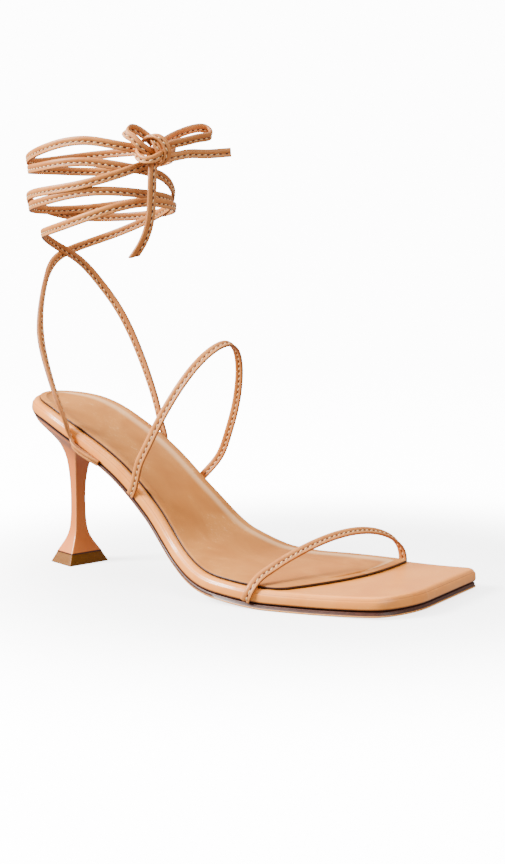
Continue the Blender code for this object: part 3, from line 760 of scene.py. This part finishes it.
def strap_leather():
    """Nude leather, folded and stitched: painted shade in the needle holes, the crease and on the
    back face, a painted highlight on the lip, darker edges.
    """
    made = Finish("strap_leather", Specular_IOR_Level=0.35)
    along, across, side = made.place()
    cloud = made.noise(7.0, 3.0)
    grain = made.noise(0.35, 4.0, 0.6)
    base = made.mix(cloud.ramp(0.35, 0.68), tone(198, 120, 54), tone(210, 134, 66))
    # Painted highlight: the flat lip is made lighter, as where light glints on it.
    lip_highlight = across.ramp(-0.35, -0.75)
    base = made.mix(lip_highlight * 0.35, base, tone(222, 146, 80))
    # Painted shade: a dark line along the crease where the fold meets the flat lip.
    crease_shade = abs(across + 0.15).ramp(0.30, 0.05)
    base = made.mix(crease_shade * 0.6, base, tone(130, 66, 24))
    # Painted shade: the strip's back face is darkened, as if turned from the light.
    inner = side.ramp(0.0, -0.5)
    base = made.mix(inner * 0.25, base, tone(140, 76, 32))
    # Painted shade: each needle hole is a dark spot standing for the shade inside it.
    step = (along / (STITCH_PITCH * 1000)).fraction()
    from_hole = abs(step - 0.5) - 0.5
    aside = across - STITCH_AT * STRIP_WIDTH * 1000
    hole_shade = ((from_hole * (STITCH_PITCH * 1000 / HOLE[0])) ** 2 + (aside / HOLE[1]) ** 2) ** 0.5
    face = abs(side).ramp(0.3, 0.6)
    base = made.mix(hole_shade.ramp(1.10, 0.65) * face, base, tone(64, 28, 10))
    # Darker towards the strip's edges.
    edge = abs(across).ramp(1.80, 1.93)
    base = made.mix(edge * 0.7, base, tone(112, 58, 24))
    wrinkle = made.noise(1.3, 2.0, 0.5, warp=0.6)
    uneven = made.bump(grain, 0.05, made.bump(wrinkle, 0.10))
    return made.feed(Base_Color=base, Roughness=0.32 + 0.16 * cloud + 0.10 * grain, Normal=uneven)


def thread():
    """Cream sewing thread with its twist."""
    made = Finish("thread", Roughness=0.6)
    twist = made.noise(0.3, 2.0)
    base = made.mix(twist.ramp(0.35, 0.7), tone(222, 172, 112), tone(244, 212, 160))
    return made.feed(Base_Color=base, Normal=made.bump(twist, 0.06))


def platform_leather():
    """Glossy nude leather over the footbed, with soft clouds and fine pores, and painted shade in its
    crease and on its tucked lower edge.
    """
    made = Finish("platform_leather", Specular_IOR_Level=0.35,
                  Coat_Weight=0.25, Coat_Roughness=0.16)
    cloud = made.noise(16.0, 3.0, 0.5, warp=0.6)
    small = made.noise(3.0, 3.0, 0.55)
    pores = made.noise(0.4, 3.0, 0.6)
    mark = made.place()[1]
    base = made.mix(cloud.ramp(0.3, 0.7), tone(238, 142, 54), tone(246, 154, 66))
    base = made.mix(small.ramp(0.55, 0.8) * 0.30, base, tone(254, 182, 108))
    # Painted shade: a dark line in the crease along the wall.
    crease_shade = abs(mark - 0.74).ramp(0.035, 0.005)
    base = made.mix(crease_shade * 0.55, base, tone(170, 92, 36))
    # Painted shade: the tucked lower edge is dark where it turns under to the outsole.
    base = made.mix(mark.ramp(0.20, 0.06), base, tone(54, 22, 8))
    uneven = made.bump(pores, 0.02, made.bump(small, 0.06))
    return made.feed(Base_Color=base, Roughness=0.22 + 0.14 * cloud + 0.06 * small, Normal=uneven)


def sock_leather():
    """Smooth tan lining leather with worn satin patches, a painted highlight near its far edge, and a
    dark cut edge: partly dye, partly painted shade.
    """
    made = Finish("sock_leather", Specular_IOR_Level=0.3)
    cloud = made.noise(22.0, 3.0, 0.5, warp=0.8)
    brushed = made.noise(2.2, 5.0, 0.7, made.here((0.35, 1.0, 1.0)), 0.3)
    pores = made.noise(0.45, 3.0, 0.6)
    mark, share = made.place()[1:]
    base = made.mix(cloud.ramp(0.3, 0.7), tone(188, 114, 42), tone(204, 130, 54))
    speckle = made.noise(0.9, 3.0, 0.65)
    patch = cloud.ramp(0.46, 0.64) * (brushed.ramp(0.54, 0.72) + speckle.ramp(0.58, 0.70))
    base = made.mix(patch * 0.6, base, tone(236, 176, 110))
    # Painted highlight: a pale line near the far edge, where the curled rim catches the light.
    far_edge_highlight = share.ramp(0.02, 0.06) * share.ramp(0.17, 0.08)
    base = made.mix(far_edge_highlight * 0.5, base, tone(250, 204, 152))
    # The cut edge is dark: partly its dye, partly painted shade in the gap to the platform.
    base = made.mix(mark.ramp(0.94, 0.66), base, tone(38, 16, 6))
    uneven = made.bump(pores, 0.03, made.bump(brushed, 0.03))
    return made.feed(Base_Color=base, Roughness=0.36 + 0.16 * brushed - 0.08 * patch, Normal=uneven)


def heel_leather():
    """Smooth leather wrapped round the heel, with painted highlights on its arrises and painted shade
    where it meets the seat and the lift.
    """
    made = Finish("heel_leather", Coat_Weight=0.25, Coat_Roughness=0.18)
    cloud = made.noise(12.0, 3.0, 0.5, made.here((1.0, 1.0, 0.35)))
    pores = made.noise(0.4, 3.0, 0.6)
    corner, share = made.place()[:2]
    base = made.mix(cloud.ramp(0.3, 0.7), tone(220, 118, 50), tone(230, 130, 62))
    # Painted highlight: the arrises are made lighter.
    base = made.mix(corner * 0.6, base, tone(250, 170, 104))
    # Painted shade: dark where the heel meets the seat above and the lift below.
    joint_shade = share.ramp(0.975, 0.990) + share.ramp(0.012, 0.004)
    base = made.mix(joint_shade, base, tone(60, 26, 10))
    rough = 0.28 + 0.12 * cloud
    return made.feed(Base_Color=base, Roughness=rough, Normal=made.bump(pores, 0.03))


def lift_rubber():
    """Hard brown rubber with faint scuffs."""
    made = Finish("lift_rubber", Specular_IOR_Level=0.25)
    speckle = made.noise(0.6, 4.0, 0.7)
    scuff = made.noise(2.5, 4.0, 0.7, made.here((0.4, 0.4, 2.0)))
    base = made.mix(speckle.ramp(0.4, 0.7), tone(112, 66, 12), tone(132, 82, 20))
    base = made.mix(scuff.ramp(0.68, 0.78) * 0.4, base, tone(190, 150, 100))
    rough = 0.36 + 0.18 * speckle
    return made.feed(Base_Color=base, Roughness=rough, Normal=made.bump(speckle, 0.04))


def sole_leather():
    """Outsole leather: a dark dyed edge over a light worn line, and a tan underside."""
    made = Finish("sole_leather")
    mark = made.place()[1]
    fibre = made.noise(0.7, 4.0, 0.65, made.here((0.4, 0.4, 2.0)))
    dark = made.mix(fibre.ramp(0.35, 0.7), tone(58, 24, 12), tone(84, 40, 20))
    light = made.mix(fibre.ramp(0.3, 0.7), tone(214, 136, 62), tone(234, 162, 84))
    base = made.mix(mark.ramp(0.30, 0.38), light, dark)
    return made.feed(Base_Color=base, Roughness=0.34 + 0.2 * fibre, Normal=made.bump(fibre, 0.04))


def floor_white():
    """The plain pale floor of a light table, with a painted shadow: its glow is dimmer round where
    the shoe's shadow falls.
    """
    made = Finish("floor_white", Roughness=0.75, Base_Color=(0.95, 0.95, 0.95, 1.0),
                  Emission_Strength=FLOOR_GLOW)
    distance = {"operation": "DISTANCE"}
    away = made.node("ShaderNodeVectorMath", distance, {0: made.here(), 1: PAINTED_SHADOW_MIDDLE}, out=1)
    shadow_tint = (PAINTED_SHADOW_DIM, PAINTED_SHADOW_DIM, PAINTED_SHADOW_DIM, 1.0)
    return made.feed(Emission_Color=made.mix(away.ramp(*PAINTED_SHADOW_REACH), (1.0, 1.0, 1.0, 1.0), shadow_tint))


# The shoe's pieces
def outsole_thickness(along):
    """The outsole is thin at the waist and full under the ball."""
    return blend(OUTSOLE_WAIST, OUTSOLE_BALL, smooth_step(*OUTSOLE_FILLS, along / LENGTH))


def build_outsole():
    """The outsole, its edge cut with a groove under the platform."""
    rows = (
        # inset depth
        (0.0008, 1.0), (0.0003, 0.96), (0.0001, 0.84), (0.0001, 0.70),
        (0.0004, 0.62), (0.0004, 0.20), (0.0006, 0.06), (0.0012, 0.0),
    )

    def level(inset, depth):
        return (outline(BREAST, LENGTH, inset, OUTSOLE_POINTS),
                lambda along, aside: -GAP - depth * outsole_thickness(along), 1 - depth)
    return layer("outsole_leather", sole_leather(), [level(*row) for row in rows])


def build_platform():
    """The footbed's cover: a soft rim, a crease under it and a tucked lower edge."""
    edge = PLATFORM_EDGE
    rows = (
        # inset height
        (0.9 * edge, -HAIR), (0.34 * edge, 0.0), (0.10 * edge, 0.0004),
        (0.0, 0.0012), (0.0, 0.0024), (0.02 * edge, PLATFORM - 0.95 * edge),
        (0.10 * edge, PLATFORM - 0.74 * edge), (0.22 * edge, PLATFORM - 0.62 * edge),
        (0.26 * edge, PLATFORM - 0.50 * edge), (0.40 * edge, PLATFORM - 0.30 * edge),
        (0.60 * edge, PLATFORM - 0.14 * edge), (0.85 * edge, PLATFORM - 0.04 * edge),
        (1.15 * edge, PLATFORM), (1.60 * edge, PLATFORM),
    )

    def level(inset, base):
        curl = min(1.0, max(0.0, (base / PLATFORM - 0.5) * 2))
        return (outline(0, LENGTH, inset, PLATFORM_POINTS),
                lambda along, aside: base + curl * cup(along, aside), max(0.0, base) / PLATFORM)
    return layer("platform_cover", platform_leather(), [level(*row) for row in rows],
                 (SOCK_DISH - GAP, 0.0), lines=8)


def sock_front(share):
    """How far forward the sock reaches at a share of the half width, minus one outside."""
    corner = max(0.0, (abs(share) - 1 + SOCK_CORNER) / SOCK_CORNER)
    turn = 1 - math.sqrt(max(0.0, 1 - corner * corner))
    depth = SOCK_CORNER * BALL_WIDTH / 2
    return SOCK_FRONT - SOCK_SLANT * ((1 - share) / 2) ** 3 - depth * turn


def sock_outline(inset):
    """Pairs of places on the sock's edge: the seat, the sides and the slanted front."""
    pairs = [((along, half), (along, -half)) for along, half in seat_rows(inset)]
    start = SEAT_BACK + SEAT_ROUND
    front_inner = sock_front(1.0) - inset
    front_outer = sock_front(-1.0) - inset
    for part in np.linspace(*SOCK_SIDE):
        inner = start + (front_inner - start) * part
        outer = inner - (front_inner - front_outer) * part ** 4
        pairs.append(((inner, half_width(inner) - inset), (outer, inset - half_width(outer))))
    shares = (0.998, 0.993, 0.985, 0.972, 0.958, 0.945, 0.925, 0.90, 0.86, 0.80, 0.73, 0.65,
              0.56, 0.47, 0.38, 0.29, 0.20, 0.12, 0.05)
    for share in shares:
        inner = sock_front(share) - inset
        outer = sock_front(-share) - inset
        half_inner = share * (half_width(inner) - inset)
        half_outer = -share * (half_width(outer) - inset)
        pairs.append(((inner, half_inner), (outer, half_outer)))
    return pairs


def build_insole():
    """The sock with a rounded cut edge, dished at the seat and crowned at the ball."""
    floor = PLATFORM + HAIR
    rows = (
        # inset height
        (0.0006, 0.0), (0.0001, 0.0002), (0.0, 0.55 * SOCK), (0.0001, 0.75 * SOCK),
        (0.0004, 0.90 * SOCK), (0.0009, 0.98 * SOCK), (0.0016, 1.02 * SOCK), (0.0030, 1.06 * SOCK),
    )

    def level(inset, base):
        return (sock_outline(SOCK_INSET + inset),
                lambda along, aside: floor + base + cup(along, aside), base / SOCK)
    return layer("sock_cover", sock_leather(), [level(*row) for row in rows],
                 (SOCK_DISH, SOCK_CROWN), lines=16)


def block_ring(length, width, height):
    """The corners of the heel's block as four points, narrower at the back."""
    front = length / 2
    side = width / 2
    back = side * (1 - LIFT_TAPER)
    way, across = level_ways(HEEL_TURN)
    places = ((front, side), (-front, back), (-front, -back), (front, -side))
    return [way * x + across * y + UP * height for x, y in places]


def block_sides(corners, count):
    """The block's four sides, each as a row of so many points."""
    shares = np.linspace(0, 1, count)
    return [[blend(corners[i], corners[(i + 1) % 4], t) for t in shares] for i in range(4)]


def seat_sides(per_side):
    """The heel's top edge under the seat as four sides in step with the block's."""
    sharp = (SEAT_INSET, SEAT_INSET)
    rim = outline(0, BREAST - GAP, SEAT_INSET, HEEL_RIM_POINTS, (sharp, sharp))
    inner = [on_sole(*pair[0], -GAP) for pair in rim]
    outer = [on_sole(*pair[1], -GAP) for pair in rim]
    path = evenly(np.array(outer[::-1] + inner), 3 * per_side - 2)[::-1]
    side_inner = path[:per_side]
    back = path[per_side - 1:2 * per_side - 1]
    side_outer = path[2 * per_side - 2:]
    front = blend(side_outer[-1], side_inner[0], np.linspace(0, 1, per_side)[:, None])
    return [side_inner, back, side_outer, front]


def build_heel():
    """The leather cover of the heel: four faces with fine arrises, a spool into the seat."""
    foot = LIFT_HEIGHT + HAIR
    seat = seat_sides(HEEL_SIDE_POINTS)
    seat_height = sole_line(HEEL_SETBACK)[2]
    heights, flares, hollows = zip(*HEEL_ROWS)
    shares = np.concatenate([np.linspace(*part) for part in HEEL_LEVELS])
    rings = []
    for share in shares:
        flare = max(0.0, float(steady(heights, flares, share)))
        hollow = float(steady(heights, hollows, share))
        length = blend(NECK_LENGTH, LIFT_TOP_SHARE * LIFT_LENGTH, flare)
        width = blend(NECK_WIDTH, LIFT_TOP_SHARE * LIFT_WIDTH, flare)
        sides = block_sides(block_ring(length, width, 0.0), HEEL_SIDE_POINTS)
        for side, edge in zip(sides, seat):
            for k, high in enumerate(edge):
                side[k] = blend(side[k], high, hollow)
                side[k][2] = foot + share * (blend(seat_height, high[2], hollow) - foot)
        rings.append(sides)
    centre = np.mean([point for side in rings[-1] for point in side], axis=0)
    plug = centre + UP * GAP
    rings.append([[plug + (point - centre) * PLUG_SHARE for point in side] for side in rings[-1]])
    vertices = []
    places = []
    for sides, share in zip(rings, np.append(shares, 1.0)):
        ring = rounded_ring(sides)
        count = len(ring)
        vertices += ring
        # The first value marks the arris points, which the heel's leather lightens as a painted
        # highlight.
        places += [(float(k % (count // 4) < 3), share, 0.0) for k in range(count)]
    faces = closed_faces(len(rings), count)
    return add_mesh("heel_cover", vertices, faces, [heel_leather()], places, sharp=80)


def rounded_ring(sides):
    """A ring of the same count at every height, with its corners rounded by the arris."""
    ring = []
    for i, side in enumerate(sides):
        before = sides[i - 1]
        size = np.linalg.norm(side[-1] - side[0])
        cut = min(ARRIS, 0.2 * size)
        start = side[0] + unit(side[1] - side[0]) * cut
        stop = side[-1] + unit(side[-2] - side[-1]) * cut
        lead = side[0] + unit(before[-2] - before[-1]) * cut
        for t in (0.25, 0.5, 0.75):
            ring.append((1 - t) ** 2 * lead + 2 * t * (1 - t) * side[0] + t * t * start)
        lengths = [np.linalg.norm(point - side[0]) for point in side]
        ring.append(start)
        for k in range(1, len(side) - 1):
            reach = cut + (lengths[-1] - 2 * cut) * k / (len(side) - 1)
            point = [np.interp(reach, lengths, [p[j] for p in side]) for j in range(3)]
            ring.append(np.array(point))
        ring.append(stop)
    return ring


def build_lift():
    """The rubber top-lift, flared to the floor, with a worn lower edge."""
    rows = (
        # height share of the block
        (0.0, 0.985), (0.0003, 1.0), (LIFT_HEIGHT * 0.5, 0.895),
        (LIFT_HEIGHT - 0.0002, LIFT_TOP_SHARE + 0.004),
        (LIFT_HEIGHT, LIFT_TOP_SHARE - 0.012),
    )
    vertices = []
    for height, share in rows:
        corners = block_ring(LIFT_LENGTH * share, LIFT_WIDTH * share, height)
        vertices += rounded_ring(block_sides(corners, LIFT_SIDE_POINTS))
    faces = closed_faces(len(rows), len(vertices) // len(rows))
    return add_mesh("lift_pad", vertices, faces, [lift_rubber()], sharp=50)


def wall_points(along, side, lean=0.0):
    """Where a strap lies on the platform's wall: low, in the middle and at the rim."""
    clear = STRIP_THICK / 2
    places = (
        # along out height
        (along, 0.55 * clear, TUCK),
        (along + lean / 2, clear, 0.5 * PLATFORM),
        (along + lean, clear, PLATFORM + TUCK),
    )
    return [on_sole(s, side * (half_width(s) + out), height) for s, out, height in places]


def wall_way(along, side):
    """The way the platform's wall runs forward beside a strap's end."""
    step = 0.002
    ends = [on_sole(s, side * half_width(s), 0.0) for s in (along - step, along + step)]
    return unit(ends[1] - ends[0])


def turning(outer, inner, middle_way, over):
    """A strap's way across that turns from the outer wall's to its own and to the inner's."""
    start_way = -wall_way(outer, -1)
    end_way = -wall_way(inner, 1)

    def way(point, share, forward):
        before = max(0.0, 1 - share / over)
        after = max(0.0, 1 - (1 - share) / over)
        return start_way * before + end_way * after + middle_way * (1 - before - after)
    return way


def steady_way(across):
    """A strip's way across that stays the same."""
    def way(point, share, forward):
        return np.array(across)
    return way


def toe_arch(turn):
    """Share of the toe strap's span and of its rise at an angle over the arch."""
    angle = math.radians(turn)
    return (turn / 180) ** (1 / TOE_ARCH_LEAN), TOE_ARCH_FULL * math.sin(angle) ** TOE_ARCH_ROUND


def instep_loop(turn):
    """Shares of the instep loop's reach, of half the seat's width and of its rise."""
    angle = math.radians(turn)
    full, bend = INSTEP_SIDES[0] if turn < 90 else INSTEP_SIDES[1]
    up = math.sin(angle) ** (2 / full)
    return np.array([INSTEP_LEAN * up ** bend, -INSTEP_SWELL * math.cos(angle), up])


def build_toe_strap(finishes):
    """The narrow strap over the toes; its stitched edge faces the toe."""
    outer = wall_points(TOE_STRAP_OUTER, -1, TOE_STRAP_LEAN)
    inner = wall_points(TOE_STRAP_INNER, 1)
    span = inner[-1] - outer[-1]
    rows = [toe_arch(turn) for turn in TOE_ARCH_TURNS]
    arch = [outer[-1] + span * a + UP * (TOE_STRAP_RISE * h) for a, h in rows]
    back = -unit(np.array([span[1], -span[0], 0.0])) + UP * TOE_STRAP_TILT
    way = turning(TOE_STRAP_OUTER, TOE_STRAP_INNER, back, TOE_STRAP_EASE)
    path = resampled(outer[:2] + arch + inner[1::-1], STRAP_STEP)
    return strip("toe_strap_leather", finishes, [(path, way, (True, True))])


def build_instep_strap(finishes):
    """The tall loop over the instep."""
    outer = wall_points(INSTEP_OUTER, -1)
    inner = wall_points(INSTEP_INNER, 1)
    base = (outer[0] + inner[0]) / 2
    size = np.array([INSTEP_REACH, SEAT_WIDTH / 2, INSTEP_RISE])
    loop = [base + size * instep_loop(turn) for turn in INSTEP_TURNS]
    lean = -unit(np.array([INSTEP_RISE, 0.0, -INSTEP_REACH]))
    way = turning(INSTEP_OUTER, INSTEP_INNER, lean, INSTEP_EASE)
    path = resampled(outer[:2] + loop + inner[1::-1], STRAP_STEP)
    return strip("instep_strap_leather", finishes, [(path, way, (True, True))])


def ankle_point(turn, reach, height):
    """A point round the ankle."""
    angle = math.radians(turn)
    x = ANKLE_FORWARD + reach * ANKLE_LENGTH / 2 * math.cos(angle)
    y = ANKLE_INWARD + reach * ANKLE_WIDTH / 2 * math.sin(angle)
    return np.array([x, y, WRAP_HEIGHT * height])


def tie_path(along, side, lean, rows):
    """A tie's path from the seat's edge, up and round the ankle."""
    foot = wall_points(along, side, lean)[:2]
    return resampled(foot + [ankle_point(*row) for row in rows], TIE_STEP)


def tie_way(side, twist):
    """The ties lie flat against the ankle; on the way up to it they are twisted in degrees."""
    def way(point, share, forward):
        out = np.array([(point[0] - ANKLE_FORWARD) / ANKLE_LENGTH ** 2,
                        (point[1] - ANKLE_INWARD) / ANKLE_WIDTH ** 2, 0.0])
        flat = side * np.cross(unit(out), forward)
        rise = np.clip((point[2] / WRAP_HEIGHT - TWIST_ENDS) / (TWIST_STARTS - TWIST_ENDS), 0, 1)
        angle = math.radians(twist) * rise
        return flat * math.cos(angle) + np.cross(forward, flat) * math.sin(angle)
    return way


def build_ankle_ties(finishes):
    """Both ties with their wraps."""
    outer = tie_path(TIE_OUTER, -1, TIE_LEAN, OUTER_TIE)
    inner = tie_path(TIE_INNER, 1, 0.0, INNER_TIE)
    runs = [(outer, tie_way(-1, OUTER_TWIST), (True, False)),
            (inner, tie_way(1, 0.0), (True, False))]
    return strip("tie_wraps_leather", finishes, runs)


def build_tie_tail(finishes):
    """The outer tie's end, folded forward along the platform's lower edge."""
    rows = (
        # along height out
        (0.0405, 0.0016, 0.0010), (0.0425, 0.0004, 0.0018), (0.0455, -0.0003, 0.0020),
        (0.0490, -0.0004, 0.0016), (0.0525, -0.0003, 0.0010), (0.0555, -0.0002, 0.0003),
    )
    points = [on_sole(along, -half_width(along) - out, height) for along, height, out in rows]
    runs = [(resampled(points, BOW_STEP), steady_way((0.0, -0.35, 0.94)), (True, True))]
    return strip("tie_tail_leather", finishes, runs, TAIL_WIDTH, TAIL_THICK, sides=())


def bow_way(direction):
    """A direction in the bow's frame, in the shoe's."""
    right, away = level_ways(BOW_TURN)
    return right * direction[0] + away * direction[1] + UP * direction[2]


def build_bow(finishes):
    """The bow's loops and ends, and the strands of its knot."""
    pieces = {}
    plans = (
        # piece, points, way across, cut
        ("loop_outer_leather", LOOP_OUTER, (0.55, 0.40, 0.70), 0.0),
        ("loop_inner_leather", LOOP_INNER, (0.35, -0.45, 0.85), 0.0),
        ("end_side_leather", END_SIDE, (0.0, 0.0, 1.0), 0.0),
        ("end_hanging_leather", END_HANGING, (-0.50, -0.87, 0.0), END_CUT),
    )
    for name, points, way, cut in plans:
        path = resampled(np.array(points) + KNOT_AT, BOW_STEP)
        runs = [(path, steady_way(way), (False, False))]
        pieces[name] = strip(name, finishes, runs, cut=cut), path
    runs = []
    strands = (
        (KNOT_FRONT, (0.25, 0.1, 0.9)),
        (KNOT_RIGHT, (0.85, 0.35, 0.3)),
        (KNOT_CORE, (0.9, 0.3, 0.1)),
    )
    for points, way in strands:
        path = resampled([KNOT_AT + bow_way(point) for point in points], BOW_STEP)
        runs.append((path, steady_way(bow_way(way)), (False, False)))
    knot = strip("knot_strands", finishes, runs, width=KNOT_WIDTH, sides=(1,))
    return pieces, knot


def build_stage():
    """The pale floor that curves up into a backdrop far behind."""
    profile = [(STAGE_FRONT, 0.0), (STAGE_FLAT, 0.0)]
    for turn in np.radians(range(6, 91, 6)):
        reach = STAGE_FLAT + STAGE_BEND * math.sin(turn)
        profile.append((reach, STAGE_BEND * (1 - math.cos(turn))))
    profile.append((STAGE_FLAT + STAGE_BEND, STAGE_TOP))
    right, away = level_ways(CAMERA_AZIMUTH)
    vertices = []
    for reach, height in profile:
        for side in (-STAGE_SIDE, STAGE_SIDE):
            vertices.append(away * reach + right * side + UP * height)
    faces = [(2 * i, 2 * i + 1, 2 * i + 3, 2 * i + 2) for i in range(len(profile) - 1)]
    floor = add_mesh("floor", vertices, faces, [floor_white()])
    floor.visible_diffuse = False
    floor.visible_glossy = False
    return floor


def build_lights():
    """A key high at the left front, a broad light above, a weak fill at the right."""
    for name, place, aim, size, power in LIGHTS:
        light = bpy.data.lights.new(name, "AREA")
        light.shape = "SQUARE"
        light.size = size
        light.energy = power
        lamp = bpy.data.objects.new(name, light)
        lamp.location = place
        away = np.array(aim) - np.array(place)
        flat = math.hypot(away[0], away[1])
        lamp.rotation_euler = (math.atan2(flat, -away[2]), 0.0, math.atan2(-away[0], away[1]))
        bpy.context.scene.collection.objects.link(lamp)
    world = bpy.data.worlds.new("studio")
    world.use_nodes = True
    background = world.node_tree.nodes["Background"]
    background.inputs[0].default_value = (1.0, 1.0, 1.0, 1.0)
    background.inputs[1].default_value = WORLD_LIGHT
    bpy.context.scene.world = world


def build_camera():
    """The camera at the picture's place and angle."""
    lens = bpy.data.cameras.new("camera")
    lens.sensor_fit = "VERTICAL"
    lens.sensor_height = SENSOR
    lens.lens = CAMERA_LENS
    lens.clip_start = CLIP_START
    view = bpy.data.objects.new("camera", lens)
    view.location = CAMERA_AT
    view.rotation_euler = (math.radians(90.0 - CAMERA_DOWN), 0.0, math.radians(CAMERA_AZIMUTH))
    bpy.context.scene.collection.objects.link(view)
    bpy.context.scene.camera = view


def take(piece, slot, *nodes):
    """Let a piece ride on the shoe, in place of its CAD nodes if it has any."""
    if nodes:
        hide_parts(*nodes)
    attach(piece, "root")


def main():
    """Dress the frame."""
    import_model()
    build_camera()
    finishes = [strap_leather(), thread()]
    bow, knot = build_bow(finishes)
    take(knot, "leather", "bow_knot")
    cords = (
        # piece, node, far end, pieces on it
        ("loop_outer_leather", "bow_loop_outer", "object", ()),
        ("loop_inner_leather", "bow_loop_inner", "object", [knot]),
        ("end_side_leather", "tie_end_side", "bare", ()),
        ("end_hanging_leather", "tie_end_hanging", "bare", ()),
    )
    for name, node, far_end, on_it in cords:
        piece, path = bow[name]
        take(piece, "leather", node)
    take(build_ankle_ties(finishes), "leather", "ankle_ties")
    take(build_tie_tail(finishes), "leather")
    take(build_instep_strap(finishes), "leather", "instep_strap")
    take(build_toe_strap(finishes), "leather", "toe_strap")
    take(build_platform(), "glossy_leather", "platform")
    take(build_insole(), "sock_leather", "insole")
    take(build_outsole(), "sole_edge", "outsole")
    take(build_heel(), "heel_leather", "heel")
    take(build_lift(), "lift_rubber", "top_lift")
    build_stage()
    build_lights()


main()
